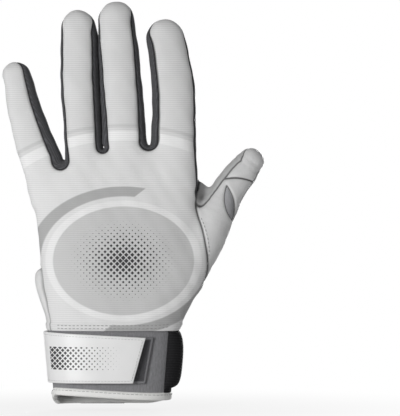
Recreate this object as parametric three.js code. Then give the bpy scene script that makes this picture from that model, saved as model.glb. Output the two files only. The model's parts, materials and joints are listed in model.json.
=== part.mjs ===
// A padded inner glove for the left hand, as a three.js scene graph. Units are millimetres.
// The fingers point to +Z, the back of the hand faces -Y, the palm faces +Y and the thumb lies on +X.
// The origin is the centre of the wrist opening, at the lower edge of the cuff.
// Every panel is a sewn sheet with its own wall, so the glove is hollow from the cuff to the fingertips.
// The groups are the lines that the glove folds about: turning one about its own X axis bends that piece.
import * as THREE from 'three';

// Sheet materials: wall thickness of each, and the gaps that keep sewn pieces apart
const BACK_WALL = 1.2;
const PALM_WALL = 1.4;
const STRIP_WALL = 1.2;
const CUFF_WALL = 1.8;
const SEAM_GAP = 0.4;
const LAYER_GAP = 0.3;

// Cross-section: a superellipse, rounder on the digits than on the hand
const DIGIT_ROUNDNESS = 2.2;
const HAND_ROUNDNESS = 2.6;
const STRIP_HALF_HEIGHT = 5.0;

// Fingers from the little finger to the index, measured from the line where each folds at the palm.
// The lean is the sideways angle from +Z, towards the little finger.
const FINGERS = [
  { name: 'little', baseWidth: 22.6, tipWidth: 15.8, depth: 17.4, length: 67.5, middleJoint: 19.5, lean: 15.5, drop: 9.5 },
  { name: 'ring', baseWidth: 22.0, tipWidth: 20.2, depth: 19.6, length: 89.5, middleJoint: 24.0, lean: 2.4, drop: 1.6 },
  { name: 'middle', baseWidth: 24.8, tipWidth: 22.2, depth: 20.4, length: 93.5, middleJoint: 25.5, lean: 4.4, drop: 0 },
  { name: 'index', baseWidth: 25.6, tipWidth: 22.4, depth: 20.2, length: 83.0, middleJoint: 24.5, lean: 3.6, drop: 0.4 },
];
const FINGER_SPACING = 2.6;
const FINGER_ROW_CENTRE = -1.8;
const FINGER_TAPER = 2;
const KNUCKLE_HEIGHT = 150.4;
const FINGER_REST_BEND = 16;
const FOLD_LEAN_SHARE = 0.5;

// Thumb: stations from the seam on the hand to the start of its round tip.
// Each has its centre, the direction across the thumb, its width and its depth.
const THUMB_STATIONS = [
  { centre: [55.2, 1.0, 97.8], across: [0.15, 0, -0.99], width: 41.6, depth: 21.6 },
  { centre: [62.0, 4.0, 107.5], across: [0.47, 0, -0.88], width: 30.5, depth: 24.0 },
  { centre: [67.8, 7.0, 121.0], across: [0.6, 0, -0.8], width: 25.0, depth: 23.0 },
  { centre: [76.2, 9.0, 136.0], across: [0.86, 0, -0.51], width: 21.6, depth: 20.6 },
  { centre: [83.2, 10.0, 147.2], across: [0.85, 0, -0.53], width: 17.6, depth: 17.4 },
];
const THUMB_ROLL = 20;
const THUMB_TIP_JOINT = 3;
const THUMB_SEAM_GAP = 0.7;

// Hand: outline and depths between the cuff seam and the finger row
const CUFF_HEIGHT = 42.5;
const HAND_STATIONS = [
  { height: 58.0, left: -41.6, right: 47.2, back: 19.5, palm: 22.0 },
  { height: 76.0, left: -42.6, right: 60.2, back: 19.0, palm: 22.5 },
  { height: 98.0, left: -44.0, right: 58.4, back: 17.5, palm: 20.5 },
  { height: 120.0, left: -47.6, right: 54.2, back: 15.0, palm: 17.0 },
];
const PANEL_EDGE = 0.93;
const THUMB_HOLE_CLEARANCE = 2.4;
const CROTCH_SAG = 1.2;

// Cuff: a stretch band in two halves, a gusset at the thumb side and a bound hem
const CUFF_TOP_WIDTH = 78.0;
const CUFF_BOTTOM_WIDTH = 72.0;
const CUFF_DEPTH = 40.0;
const HEM_HEIGHT = 5.0;
const HEM_THICKNESS = 2.6;
const GUSSET_BULGE = 5.0;
const GUSSET_BACK_ANGLE = 36;
const GUSSET_PALM_ANGLE = 30;
const SEAM_TAPE_HEIGHT = 3.2;
const SEAM_TAPE_THICKNESS = 1.2;

// Closure: strap from the little-finger edge across the back, on a hook patch and a loop patch
const STRAP_BOTTOM = 9.5;
const STRAP_HEIGHT = 31.5;
const STRAP_TIP_HEIGHT = 28.5;
const STRAP_THICKNESS = 1.8;
const STRAP_END = 21.0;
const STRAP_END_SLANT = 7.0;
const STRAP_ANCHOR_WIDTH = 9.0;
const PATCH_THICKNESS = 1.2;
const PATCH_MARGIN = 2.0;
const LOOP_LEFT = -24.0;
const LOOP_RIGHT = 27.5;
const HOOK_LEFT = -12.0;

// Pull tab on the palm side of the cuff
const TAB_CENTRE = -5.0;
const TAB_TOP_WIDTH = 39.0;
const TAB_BOTTOM_WIDTH = 27.0;
const TAB_OVERHANG = 5.0;
const TAB_THICKNESS = 2.0;

// Pads: stitched foam pockets on the palm side, by digit and distance from the fold line
const PAD_CROWN = 2.2;
const PAD_RIM = 0.6;
const FINGER_PADS = [
  { digit: 'index', name: 'index_base_pad', from: 3.2, to: 21.3, width: 15.0 },
  { digit: 'index', name: 'index_tip_pad', from: 27.8, to: 62.0, width: 15.5 },
  { digit: 'middle', name: 'middle_base_pad', from: 3.2, to: 22.3, width: 15.0 },
  { digit: 'middle', name: 'middle_tip_pad', from: 28.8, to: 66.0, width: 16.0 },
  { digit: 'ring', name: 'ring_base_pad', from: 3.2, to: 20.8, width: 14.5 },
];
const PALM_PAD = { left: -15.0, right: 38.0, bottom: 99.0, top: 143.0, crown: 3.0, taper: 0.45 };
const HEEL_PAD = { aboveCuff: 11.5, length: 26.0, crown: 4.2, height: 20.0 };

// Finish of each material
const MATERIALS = {
  knit: { color: 0xd8d8d8, roughness: 0.85 },
  leather: { color: 0xe2e2e0, roughness: 0.6 },
  strip: { color: 0x4c4c4e, roughness: 0.8 },
  neoprene: { color: 0x7b7b7d, roughness: 0.9 },
  stretch: { color: 0x161617, roughness: 0.85 },
  strap: { color: 0xececea, roughness: 0.5 },
  hookLoop: { color: 0x3a3a3c, roughness: 1.0 },
  binding: { color: 0xefefed, roughness: 0.75 },
  webbing: { color: 0x101215, roughness: 0.7 },
};

const DORSAL = new THREE.Vector3(0, -1, 0);
const lerp = THREE.MathUtils.lerp;
const radians = THREE.MathUtils.degToRad;

// Evenly spaced values for the rows and columns of a sheet
function spread(count, from = -1, to = 1) {
  return Array.from({ length: count + 1 }, (_, i) => lerp(from, to, i / count));
}

function constant(value) {
  return () => value;
}

// Height of a superellipse of unit half-width and half-height at a distance from its centre
function arch(distance, roundness) {
  const share = Math.min(Math.abs(distance), 1);
  return Math.pow(1 - Math.pow(share, roundness), 1 / roundness);
}

// Smooth curve through stations, as a function of the station position
function smoothThrough(stations, place, value) {
  const slope = (i) => {
    const before = stations[Math.max(i - 1, 0)];
    const after = stations[Math.min(i + 1, stations.length - 1)];
    return (value(after) - value(before)) / (place(after) - place(before));
  };
  return (position) => {
    let i = 0;
    while (i < stations.length - 2 && position > place(stations[i + 1])) i += 1;
    const span = place(stations[i + 1]) - place(stations[i]);
    const t = (position - place(stations[i])) / span;
    const start = value(stations[i]) * (1 + 2 * t) * (1 - t) * (1 - t);
    const end = value(stations[i + 1]) * t * t * (3 - 2 * t);
    const startSlope = slope(i) * span * t * (1 - t) * (1 - t);
    const endSlope = slope(i + 1) * span * t * t * (t - 1);
    return start + end + startSlope + endSlope;
  };
}

function surfaceNormal(surface, u, v) {
  const step = 1e-3;
  const alongU = surface(Math.min(u + step, 1), v).sub(surface(Math.max(u - step, -1), v));
  const alongV = surface(u, Math.min(v + step, 1)).sub(surface(u, Math.max(v - step, 0)));
  return alongU.cross(alongV).normalize();
}

// A closed solid between two sheets that follow a surface, which gives a point for u (-1 to 1) and v (0 to 1).
// Its outer side is where u crossed with v points, and both lifts are measured that way from the surface.
function slab(surface, us, vs, outerLift, innerLift) {
  const positions = [];
  for (const lift of [outerLift, innerLift]) {
    for (const v of vs) {
      for (const u of us) {
        const point = surface(u, v).addScaledVector(surfaceNormal(surface, u, v), lift(u, v));
        positions.push(point.x, point.y, point.z);
      }
    }
  }
  const columns = us.length;
  const inner = columns * vs.length;
  const lastRow = inner - columns;
  const indices = [];
  const quad = (a, b, c, d) => indices.push(a, b, c, a, c, d);
  for (let row = 0; row < vs.length - 1; row++) {
    for (let column = 0; column < columns - 1; column++) {
      const a = row * columns + column;
      const d = a + columns;
      quad(a, a + 1, d + 1, d);
      quad(inner + a, inner + d, inner + d + 1, inner + a + 1);
    }
    const left = row * columns;
    const right = left + columns - 1;
    quad(left, left + columns, inner + left + columns, inner + left);
    quad(right, inner + right, inner + right + columns, right + columns);
  }
  for (let column = 0; column < columns - 1; column++) {
    const top = lastRow + column;
    quad(column, inner + column, inner + column + 1, column + 1);
    quad(top, top + 1, inner + top + 1, inner + top);
  }
  const geometry = new THREE.BufferGeometry();
  geometry.setAttribute('position', new THREE.Float32BufferAttribute(positions, 3));
  geometry.setIndex(indices);
  geometry.computeVertexNormals();
  return geometry;
}

function sheet(surface, us, vs, wall) {
  return slab(surface, us, vs, constant(0), constant(-wall));
}

// Corner rounding that draws the corners of a square in towards a disc
const CORNER_ROUNDING = 0.6;
function roundedSquare(u, w) {
  const across = u * Math.sqrt(1 - (CORNER_ROUNDING * w * w) / 2);
  const along = w * Math.sqrt(1 - (CORNER_ROUNDING * u * u) / 2);
  return { across, along };
}

// A stitched foam pocket: flat below, crowned above and drawn in at its rim
function cushion(surface, columns, rows, crown) {
  const crowned = (u, v) => {
    const w = 2 * v - 1;
    return LAYER_GAP + PAD_RIM + crown * (1 - Math.pow(u, 4)) * (1 - Math.pow(w, 4));
  };
  return slab(surface, spread(columns), spread(rows, 0, 1), crowned, constant(LAYER_GAP));
}

const materials = Object.fromEntries(
  Object.entries(MATERIALS).map(([name, finish]) => [name, new THREE.MeshStandardMaterial(finish)]),
);

const glove = new THREE.Group();
glove.name = 'padded_inner_glove';

function addPiece(parent, name, geometry, material) {
  const piece = new THREE.Mesh(geometry, materials[material]);
  piece.name = name;
  parent.attach(piece);
  return piece;
}

// A fold line: its local X axis is the axis that the pieces in it turn about
function addFold(parent, name, point, axis) {
  const fold = new THREE.Group();
  fold.name = name;
  fold.position.copy(point);
  fold.quaternion.setFromUnitVectors(new THREE.Vector3(1, 0, 0), axis.clone().normalize());
  parent.attach(fold);
  return fold;
}

// Fingers: a bent centre line with a tapering section, from the palm fold to the start of the round tip
const FINGERTIP_THINNING = 2.0;
const fingerRowWidth = FINGERS.reduce((sum, finger) => sum + finger.baseWidth, 0)
  + FINGER_SPACING * (FINGERS.length - 1);

function placeFingers() {
  let edge = FINGER_ROW_CENTRE - fingerRowWidth / 2;
  return FINGERS.map((finger) => {
    const lean = radians(finger.lean);
    const base = new THREE.Vector3(edge + finger.baseWidth / 2, 0, KNUCKLE_HEIGHT - finger.drop);
    edge += finger.baseWidth + FINGER_SPACING;
    const right = new THREE.Vector3(Math.cos(lean), 0, Math.sin(lean));
    const along = new THREE.Vector3(-Math.sin(lean), 0, Math.cos(lean));
    const tipStart = finger.length - finger.tipWidth / 2;
    const bend = radians(FINGER_REST_BEND);
    const radius = finger.length / bend;
    const frameAt = (s) => {
      const turn = bend * (s / finger.length);
      return {
        centre: base.clone()
          .addScaledVector(along, radius * Math.sin(turn))
          .addScaledVector(DORSAL, -radius * (1 - Math.cos(turn))),
        along: along.clone().multiplyScalar(Math.cos(turn)).addScaledVector(DORSAL, -Math.sin(turn)),
        dorsal: DORSAL.clone().multiplyScalar(Math.cos(turn)).addScaledVector(along, Math.sin(turn)),
        right,
        halfWidth: lerp(finger.baseWidth, finger.tipWidth, Math.pow(s / tipStart, FINGER_TAPER)) / 2,
        halfDepth: (finger.depth - FINGERTIP_THINNING * (s / tipStart)) / 2,
      };
    };
    const foldLean = radians(finger.lean * FOLD_LEAN_SHARE);
    const foldAxis = new THREE.Vector3(-Math.cos(foldLean), 0, -Math.sin(foldLean));
    return { ...finger, base, right, tipStart, frameAt, foldAxes: [foldAxis, foldAxis], start: SEAM_GAP };
  });
}

// Thumb: the same kind of digit, through its own stations
function placeThumb() {
  const centres = THUMB_STATIONS.map((station) => new THREE.Vector3(...station.centre));
  const stations = THUMB_STATIONS.map((station, i) => {
    const before = centres.slice(0, i + 1);
    const distance = before.slice(1).reduce((sum, centre, j) => sum + centre.distanceTo(before[j]), 0);
    return { ...station, distance };
  });
  const through = (value) => smoothThrough(stations, (station) => station.distance, value);
  const centreParts = [0, 1, 2].map((k) => through((station) => station.centre[k]));
  const acrossParts = [0, 1, 2].map((k) => through((station) => station.across[k]));
  const widthAt = through((station) => station.width);
  const depthAt = through((station) => station.depth);
  const tipStart = stations[stations.length - 1].distance;
  const centreAt = (s) => new THREE.Vector3(...centreParts.map((part) => part(s)));
  const frameAt = (s) => {
    const right = new THREE.Vector3(...acrossParts.map((part) => part(s))).normalize();
    const roll = radians(THUMB_ROLL) * (s / tipStart);
    const dorsal = new THREE.Vector3(Math.sin(roll), -Math.cos(roll), 0);
    dorsal.addScaledVector(right, -dorsal.dot(right)).normalize();
    const along = centreAt(s).sub(centreAt(s - 0.5)).normalize();
    return { centre: centreAt(s), along, dorsal, right, halfWidth: widthAt(s) / 2, halfDepth: depthAt(s) / 2 };
  };
  const middleJoint = stations[THUMB_TIP_JOINT].distance;
  const foldAxes = [frameAt(0).right.negate(), frameAt(middleJoint).right.negate()];
  return { name: 'thumb', tipStart, frameAt, middleJoint, foldAxes, start: THUMB_SEAM_GAP };
}

function pointOn(frame, across, beyond, height) {
  return frame.centre.clone()
    .addScaledVector(frame.right, across)
    .addScaledVector(frame.along, beyond)
    .addScaledVector(frame.dorsal, height);
}

// Back (side 1) or palm (side -1) panel of a digit; v past the tip share runs over the round tip
const TIP_SHARE = 0.7;
const TIP_SWEEP = radians(80);
function panelSurface(digit, from, to, side, overTip) {
  return (u, v) => {
    const straight = overTip ? Math.min(v / TIP_SHARE, 1) : v;
    const frame = digit.frameAt(lerp(from, to, straight));
    const reach = frame.halfWidth * arch((STRIP_HALF_HEIGHT + SEAM_GAP) / frame.halfDepth, DIGIT_ROUNDNESS);
    const sweep = overTip ? TIP_SWEEP * Math.max((v - TIP_SHARE) / (1 - TIP_SHARE), 0) : 0;
    const across = side * u * reach * Math.cos(sweep);
    const beyond = reach * Math.sin(sweep);
    const height = frame.halfDepth * arch(Math.hypot(across, beyond) / frame.halfWidth, DIGIT_ROUNDNESS);
    return pointOn(frame, across, beyond, side * height);
  };
}

// Side strip of a digit's first length: side 1 is the thumb side
function stripSurface(digit, from, to, side) {
  return (u, v) => {
    const frame = digit.frameAt(lerp(from, to, v));
    const height = -side * u * STRIP_HALF_HEIGHT;
    const across = side * frame.halfWidth * arch(height / frame.halfDepth, DIGIT_ROUNDNESS);
    return pointOn(frame, across, 0, height);
  };
}

// Strip that runs up one side of a digit's end, over the tip and down the other side
const SHOULDER = 0.35;
function tipStripSurface(digit, from) {
  return (u, v) => {
    const fromTip = Math.min(v, 1 - v) / SHOULDER;
    const frame = digit.frameAt(lerp(from, digit.tipStart, Math.min(fromTip, 1)));
    const height = u * STRIP_HALF_HEIGHT;
    const reach = frame.halfWidth * arch(height / frame.halfDepth, DIGIT_ROUNDNESS);
    const sweep = THREE.MathUtils.clamp((v - SHOULDER) / (1 - 2 * SHOULDER), 0, 1);
    const angle = lerp(-Math.PI / 2, Math.PI / 2, sweep);
    return pointOn(frame, reach * Math.sin(angle), reach * Math.cos(angle), height);
  };
}

function fingerPadSurface(digit, pad) {
  return (u, v) => {
    const { across, along } = roundedSquare(u, 2 * v - 1);
    const frame = digit.frameAt(lerp(pad.from, pad.to, (along + 1) / 2));
    const offset = (-across * pad.width) / 2;
    return pointOn(frame, offset, 0, -frame.halfDepth * arch(offset / frame.halfWidth, DIGIT_ROUNDNESS));
  };
}

function palmEdge(digit, s) {
  const frame = digit.frameAt(s);
  return pointOn(frame, 0, 0, -frame.halfDepth);
}

// One digit: four panels up to its middle joint, then a back, a palm and a strip over the tip
function addDigit(digit) {
  const { name, middleJoint, tipStart, start } = digit;
  const baseEnd = middleJoint - SEAM_GAP / 2;
  const tipFrom = middleJoint + SEAM_GAP / 2;
  const tipRows = [...spread(3, 0, TIP_SHARE), ...spread(4, TIP_SHARE, 1).slice(1)];
  const stripRows = [
    ...spread(2, 0, SHOULDER),
    ...spread(8, SHOULDER, 1 - SHOULDER).slice(1),
    ...spread(2, 1 - SHOULDER, 1).slice(1),
  ];
  const baseRows = spread(name === 'thumb' ? 5 : 2, 0, 1);

  const base = addFold(glove, `${name}_knuckle_fold`, palmEdge(digit, 0), digit.foldAxes[0]);
  const baseBack = panelSurface(digit, start, baseEnd, 1, false);
  const basePalm = panelSurface(digit, start, baseEnd, -1, false);
  addPiece(base, `${name}_base_back`, sheet(baseBack, spread(6), baseRows, BACK_WALL), 'knit');
  addPiece(base, `${name}_base_palm`, sheet(basePalm, spread(6), baseRows, PALM_WALL), 'leather');
  for (const [label, side] of [['outer', -1], ['inner', 1]]) {
    const strip = stripSurface(digit, start, baseEnd, side);
    addPiece(base, `${name}_base_${label}_strip`, sheet(strip, spread(2), baseRows, STRIP_WALL), 'strip');
  }

  const tip = addFold(base, `${name}_middle_fold`, palmEdge(digit, middleJoint), digit.foldAxes[1]);
  const tipBack = panelSurface(digit, tipFrom, tipStart, 1, true);
  const tipPalm = panelSurface(digit, tipFrom, tipStart, -1, true);
  addPiece(tip, `${name}_tip_back`, sheet(tipBack, spread(6), tipRows, BACK_WALL), 'knit');
  addPiece(tip, `${name}_tip_palm`, sheet(tipPalm, spread(6), tipRows, PALM_WALL), 'leather');
  addPiece(tip, `${name}_tip_strip`, sheet(tipStripSurface(digit, tipFrom), spread(2), stripRows, STRIP_WALL), 'strip');

  for (const pad of FINGER_PADS.filter((entry) => entry.digit === name)) {
    const geometry = cushion(fingerPadSurface(digit, pad), 6, 8, PAD_CROWN);
    addPiece(pad.from < middleJoint ? base : tip, pad.name, geometry, 'leather');
  }
}

const fingers = placeFingers();
const thumb = placeThumb();
[...fingers, thumb].forEach(addDigit);

// Hand: its lower edge is the cuff and its upper edge is the row of finger bases
const littleFinger = fingers[0];
const indexFinger = fingers[fingers.length - 1];
const rowEdges = fingers.flatMap((finger) => [-1, 1].map((side) => (
  finger.base.clone().addScaledVector(finger.right, (side * finger.baseWidth) / 2)
)));
const rowLeft = rowEdges[0].x;
const rowRight = rowEdges[rowEdges.length - 1].x;
const handStations = [
  {
    height: CUFF_HEIGHT,
    left: -CUFF_TOP_WIDTH / 2,
    right: CUFF_TOP_WIDTH / 2,
    back: CUFF_DEPTH / 2,
    palm: CUFF_DEPTH / 2,
  },
  ...HAND_STATIONS,
  {
    height: KNUCKLE_HEIGHT,
    left: rowLeft,
    right: rowRight,
    back: indexFinger.depth / 2,
    palm: indexFinger.depth / 2,
  },
];
const handCurve = (value) => smoothThrough(handStations, (station) => station.height, value);
const handLeft = handCurve((station) => station.left);
const handRight = handCurve((station) => station.right);
const handBack = handCurve((station) => station.back);
const handPalm = handCurve((station) => station.palm);

// Upper edge of the hand at a share of its width, from -1 at the little finger to 1 at the index
function rowHeight(share) {
  const x = lerp(rowLeft, rowRight, (share + 1) / 2);
  let i = 0;
  while (i < rowEdges.length - 2 && x > rowEdges[i + 1].x) i += 1;
  return lerp(rowEdges[i].z, rowEdges[i + 1].z, (x - rowEdges[i].x) / (rowEdges[i + 1].x - rowEdges[i].x));
}

// Point on the back (side -1) or the palm (side 1) of the hand
function handPoint(share, height, side) {
  const middle = (handLeft(height) + handRight(height)) / 2;
  const half = (handRight(height) - handLeft(height)) / 2;
  const depth = side < 0 ? handBack(height) : handPalm(height);
  return new THREE.Vector3(middle + share * half, side * depth * arch(share, HAND_ROUNDNESS), height);
}

function handPanelSurface(side) {
  return (u, v) => {
    const share = -side * u * PANEL_EDGE;
    const height = lerp(CUFF_HEIGHT + SEAM_GAP, rowHeight(share) - SEAM_GAP, v);
    return handPoint(share, height, side);
  };
}

// Narrow panel that closes the side of the hand between the back and the palm: side 1 is the thumb side
function handSideSurface(side, bottom, top) {
  return (u, v) => {
    const height = lerp(bottom, top, v);
    const towardsPalm = side * u;
    const depth = towardsPalm < 0 ? handBack(height) : handPalm(height);
    const limit = depth * arch(PANEL_EDGE, HAND_ROUNDNESS) - SEAM_GAP;
    const y = towardsPalm * limit;
    const middle = (handLeft(height) + handRight(height)) / 2;
    const half = (handRight(height) - handLeft(height)) / 2;
    return new THREE.Vector3(middle + side * half * arch(y / depth, HAND_ROUNDNESS), y, height);
  };
}

// Gusset at the bottom of the slit between two fingers
function crotchSurface(leftFinger, rightFinger) {
  const wallShare = (finger) => finger.baseWidth / 2 - STRIP_WALL;
  const from = leftFinger.base.clone().addScaledVector(leftFinger.right, wallShare(leftFinger));
  const to = rightFinger.base.clone().addScaledVector(rightFinger.right, -wallShare(rightFinger));
  const depth = Math.min(leftFinger.depth, rightFinger.depth) / 2 - PALM_WALL - SEAM_GAP * 2;
  return (u, v) => {
    const point = from.clone().lerp(to, (u + 1) / 2);
    point.y = lerp(-depth, depth, v);
    point.z -= CROTCH_SAG * (1 - u * u);
    return point;
  };
}

const handColumns = spread(20);
const handRows = spread(7, 0, 1);
addPiece(glove, 'hand_back', sheet(handPanelSurface(-1), handColumns, handRows, BACK_WALL), 'knit');
addPiece(glove, 'hand_palm', sheet(handPanelSurface(1), handColumns, handRows, PALM_WALL), 'leather');

const outerSide = handSideSurface(-1, CUFF_HEIGHT + SEAM_GAP, rowEdges[0].z - SEAM_GAP * 2);
const thumbSeam = thumb.frameAt(0);
const thumbHoleTop = pointOn(thumbSeam, -thumbSeam.halfWidth, 0, 0).z + THUMB_HOLE_CLEARANCE;
const thumbHoleBottom = pointOn(thumbSeam, thumbSeam.halfWidth, 0, 0).z - THUMB_HOLE_CLEARANCE;
const webStrip = handSideSurface(1, thumbHoleTop, rowHeight(1) - SEAM_GAP * 2);
const thumbSide = handSideSurface(1, CUFF_HEIGHT + SEAM_GAP, thumbHoleBottom);
addPiece(glove, 'outer_side_panel', sheet(outerSide, spread(4), handRows, PALM_WALL), 'leather');
addPiece(glove, 'thumb_web_strip', sheet(webStrip, spread(3), spread(3, 0, 1), STRIP_WALL), 'strip');
addPiece(glove, 'thumb_side_panel', sheet(thumbSide, spread(4), spread(4, 0, 1), PALM_WALL), 'leather');

fingers.slice(0, -1).forEach((finger, i) => {
  const name = `${finger.name}_${fingers[i + 1].name}_crotch`;
  const surface = crotchSurface(finger, fingers[i + 1]);
  addPiece(glove, name, sheet(surface, spread(4), spread(2, 0, 1), STRIP_WALL), 'strip');
});

const palmPadSurface = (u, v) => {
  const { across, along } = roundedSquare(u, 2 * v - 1);
  const height = lerp(PALM_PAD.bottom, PALM_PAD.top, (along + 1) / 2);
  const narrowing = 1 - PALM_PAD.taper * Math.pow((1 - along) / 2, 2);
  const x = lerp(PALM_PAD.left, PALM_PAD.right, (1 - across * narrowing) / 2);
  const middle = (handLeft(height) + handRight(height)) / 2;
  const half = (handRight(height) - handLeft(height)) / 2;
  return handPoint((x - middle) / half, height, 1);
};
addPiece(glove, 'palm_pad', cushion(palmPadSurface, 12, 10, PALM_PAD.crown), 'leather');

const heelPadSurface = (u, v) => {
  const { across, along } = roundedSquare(u, 2 * v - 1);
  const bottom = CUFF_HEIGHT + HEEL_PAD.aboveCuff;
  const side = handSideSurface(-1, bottom, bottom + HEEL_PAD.length);
  return side(across * HEEL_PAD.height / CUFF_DEPTH * 2, (along + 1) / 2);
};
addPiece(glove, 'heel_pad', cushion(heelPadSurface, 6, 8, HEEL_PAD.crown), 'leather');

// Cuff: the angle runs round the wrist from the thumb side (0) over the palm (90) to the little-finger edge (180)
function cuffPoint(angle, height) {
  const halfWidth = lerp(CUFF_BOTTOM_WIDTH, CUFF_TOP_WIDTH, height / CUFF_HEIGHT) / 2;
  const cos = Math.cos(radians(angle));
  const sin = Math.sin(radians(angle));
  const bow = (value) => Math.sign(value) * Math.pow(Math.abs(value), 2 / HAND_ROUNDNESS);
  return new THREE.Vector3(halfWidth * bow(cos), (CUFF_DEPTH / 2) * bow(sin), height);
}

function bandSurface(startAngle, endAngle, bottom, top) {
  return (u, v) => cuffPoint(lerp(startAngle, endAngle, (u + 1) / 2), lerp(bottom, top, v));
}

// Angle on the back of the cuff where it has this X
function backAngle(x, height) {
  const halfWidth = lerp(CUFF_BOTTOM_WIDTH, CUFF_TOP_WIDTH, height / CUFF_HEIGHT) / 2;
  const cos = Math.sign(x) * Math.pow(Math.abs(x) / halfWidth, HAND_ROUNDNESS / 2);
  return 360 - THREE.MathUtils.radToDeg(Math.acos(cos));
}

const ANGLE_GAP = 0.6;
const OUTER_EDGE = 180;
const FULL_TURN = 360;
const STRAP_ROOT_ANGLE = 188;
const anchorAngle = STRAP_ROOT_ANGLE - (STRAP_ANCHOR_WIDTH / CUFF_DEPTH) * 90;
const hemTop = HEM_HEIGHT + LAYER_GAP;
const cuffTop = CUFF_HEIGHT - SEAM_GAP / 2;
const cuffBackBand = bandSurface(OUTER_EDGE + ANGLE_GAP, FULL_TURN - GUSSET_BACK_ANGLE - ANGLE_GAP, hemTop, cuffTop);
const cuffPalmBand = bandSurface(GUSSET_PALM_ANGLE + ANGLE_GAP, OUTER_EDGE - ANGLE_GAP, hemTop, cuffTop);
addPiece(glove, 'cuff_back', sheet(cuffBackBand, spread(14), spread(2, 0, 1), CUFF_WALL), 'neoprene');
addPiece(glove, 'cuff_palm', sheet(cuffPalmBand, spread(14), spread(2, 0, 1), CUFF_WALL), 'neoprene');

const gussetBand = bandSurface(-GUSSET_BACK_ANGLE + ANGLE_GAP, GUSSET_PALM_ANGLE - ANGLE_GAP, hemTop, cuffTop);
const gussetLift = (u, v) => GUSSET_BULGE * (1 - u * u) * Math.sqrt(Math.sin(Math.PI * v));
const gussetInner = (u, v) => gussetLift(u, v) - CUFF_WALL;
addPiece(glove, 'cuff_gusset', slab(gussetBand, spread(8), spread(6, 0, 1), gussetLift, gussetInner), 'stretch');

const hemLift = (HEM_THICKNESS - CUFF_WALL) / 2;
const hemBand = bandSurface(OUTER_EDGE + ANGLE_GAP, OUTER_EDGE + FULL_TURN - ANGLE_GAP, 0, HEM_HEIGHT);
addPiece(glove, 'hem_binding', slab(
  hemBand,
  spread(32),
  spread(1, 0, 1),
  constant(hemLift),
  constant(hemLift - HEM_THICKNESS),
), 'binding');

const seamTape = bandSurface(GUSSET_PALM_ANGLE + ANGLE_GAP, anchorAngle - ANGLE_GAP, cuffTop - SEAM_TAPE_HEIGHT, cuffTop);
addPiece(glove, 'palm_binding', slab(
  seamTape,
  spread(12),
  spread(1, 0, 1),
  constant(LAYER_GAP + SEAM_TAPE_THICKNESS),
  constant(LAYER_GAP),
), 'binding');

// Closure: loop patch on the cuff, then the hook patch under the strap, then the strap itself
const loopOuter = LAYER_GAP + PATCH_THICKNESS;
const hookInner = loopOuter + LAYER_GAP;
const hookOuter = hookInner + PATCH_THICKNESS;
const strapRest = hookOuter + LAYER_GAP;
const patchBottom = STRAP_BOTTOM + PATCH_MARGIN;
const patchTop = STRAP_BOTTOM + STRAP_TIP_HEIGHT - PATCH_MARGIN;
const strapEndAt = (height) => STRAP_END - STRAP_END_SLANT * (1 - (height - STRAP_BOTTOM) / STRAP_TIP_HEIGHT);

function backPatchSurface(leftX, rightXAt) {
  return (u, v) => {
    const height = lerp(patchBottom, patchTop, v);
    const angle = lerp(backAngle(leftX, height), backAngle(rightXAt(height), height), (u + 1) / 2);
    return cuffPoint(angle, height);
  };
}

const loopSurface = backPatchSurface(LOOP_LEFT, constant(LOOP_RIGHT));
const hookSurface = backPatchSurface(HOOK_LEFT, (height) => strapEndAt(height) - PATCH_MARGIN);
addPiece(glove, 'loop_patch', slab(
  loopSurface,
  spread(8),
  spread(2, 0, 1),
  constant(loopOuter),
  constant(LAYER_GAP),
), 'hookLoop');

const anchorSurface = bandSurface(anchorAngle, STRAP_ROOT_ANGLE - ANGLE_GAP, STRAP_BOTTOM, STRAP_BOTTOM + STRAP_HEIGHT);
addPiece(glove, 'strap_anchor', slab(
  anchorSurface,
  spread(4),
  spread(2, 0, 1),
  constant(LAYER_GAP + STRAP_THICKNESS),
  constant(LAYER_GAP),
), 'strap');

const strapSurface = (u, v) => {
  const share = (u + 1) / 2;
  const height = STRAP_BOTTOM + v * lerp(STRAP_HEIGHT, STRAP_TIP_HEIGHT, share);
  const endAngle = backAngle(strapEndAt(height), height);
  return cuffPoint(lerp(STRAP_ROOT_ANGLE, endAngle, share), height);
};
const STRAP_RISE_START = -0.9;
const STRAP_RISE_END = -0.3;
const strapInner = (u) => {
  const rise = THREE.MathUtils.smoothstep(u, STRAP_RISE_START, STRAP_RISE_END);
  return lerp(LAYER_GAP, strapRest, rise);
};
const strapOuter = (u) => strapInner(u) + STRAP_THICKNESS;
const strapRoot = (v) => {
  const lift = LAYER_GAP + STRAP_THICKNESS;
  const strapEdge = strapSurface(-1, v).addScaledVector(surfaceNormal(strapSurface, -1, v), lift);
  const anchorEdge = anchorSurface(1, v).addScaledVector(surfaceNormal(anchorSurface, 1, v), lift);
  return strapEdge.lerp(anchorEdge, 0.5);
};
const strapFold = addFold(glove, 'strap_fold', strapRoot(0.5), strapRoot(0).sub(strapRoot(1)));
addPiece(strapFold, 'strap', slab(strapSurface, spread(14), spread(2, 0, 1), strapOuter, strapInner), 'strap');
addPiece(strapFold, 'hook_patch', slab(
  hookSurface,
  spread(6),
  spread(2, 0, 1),
  constant(hookOuter),
  constant(hookInner),
), 'hookLoop');

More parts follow.
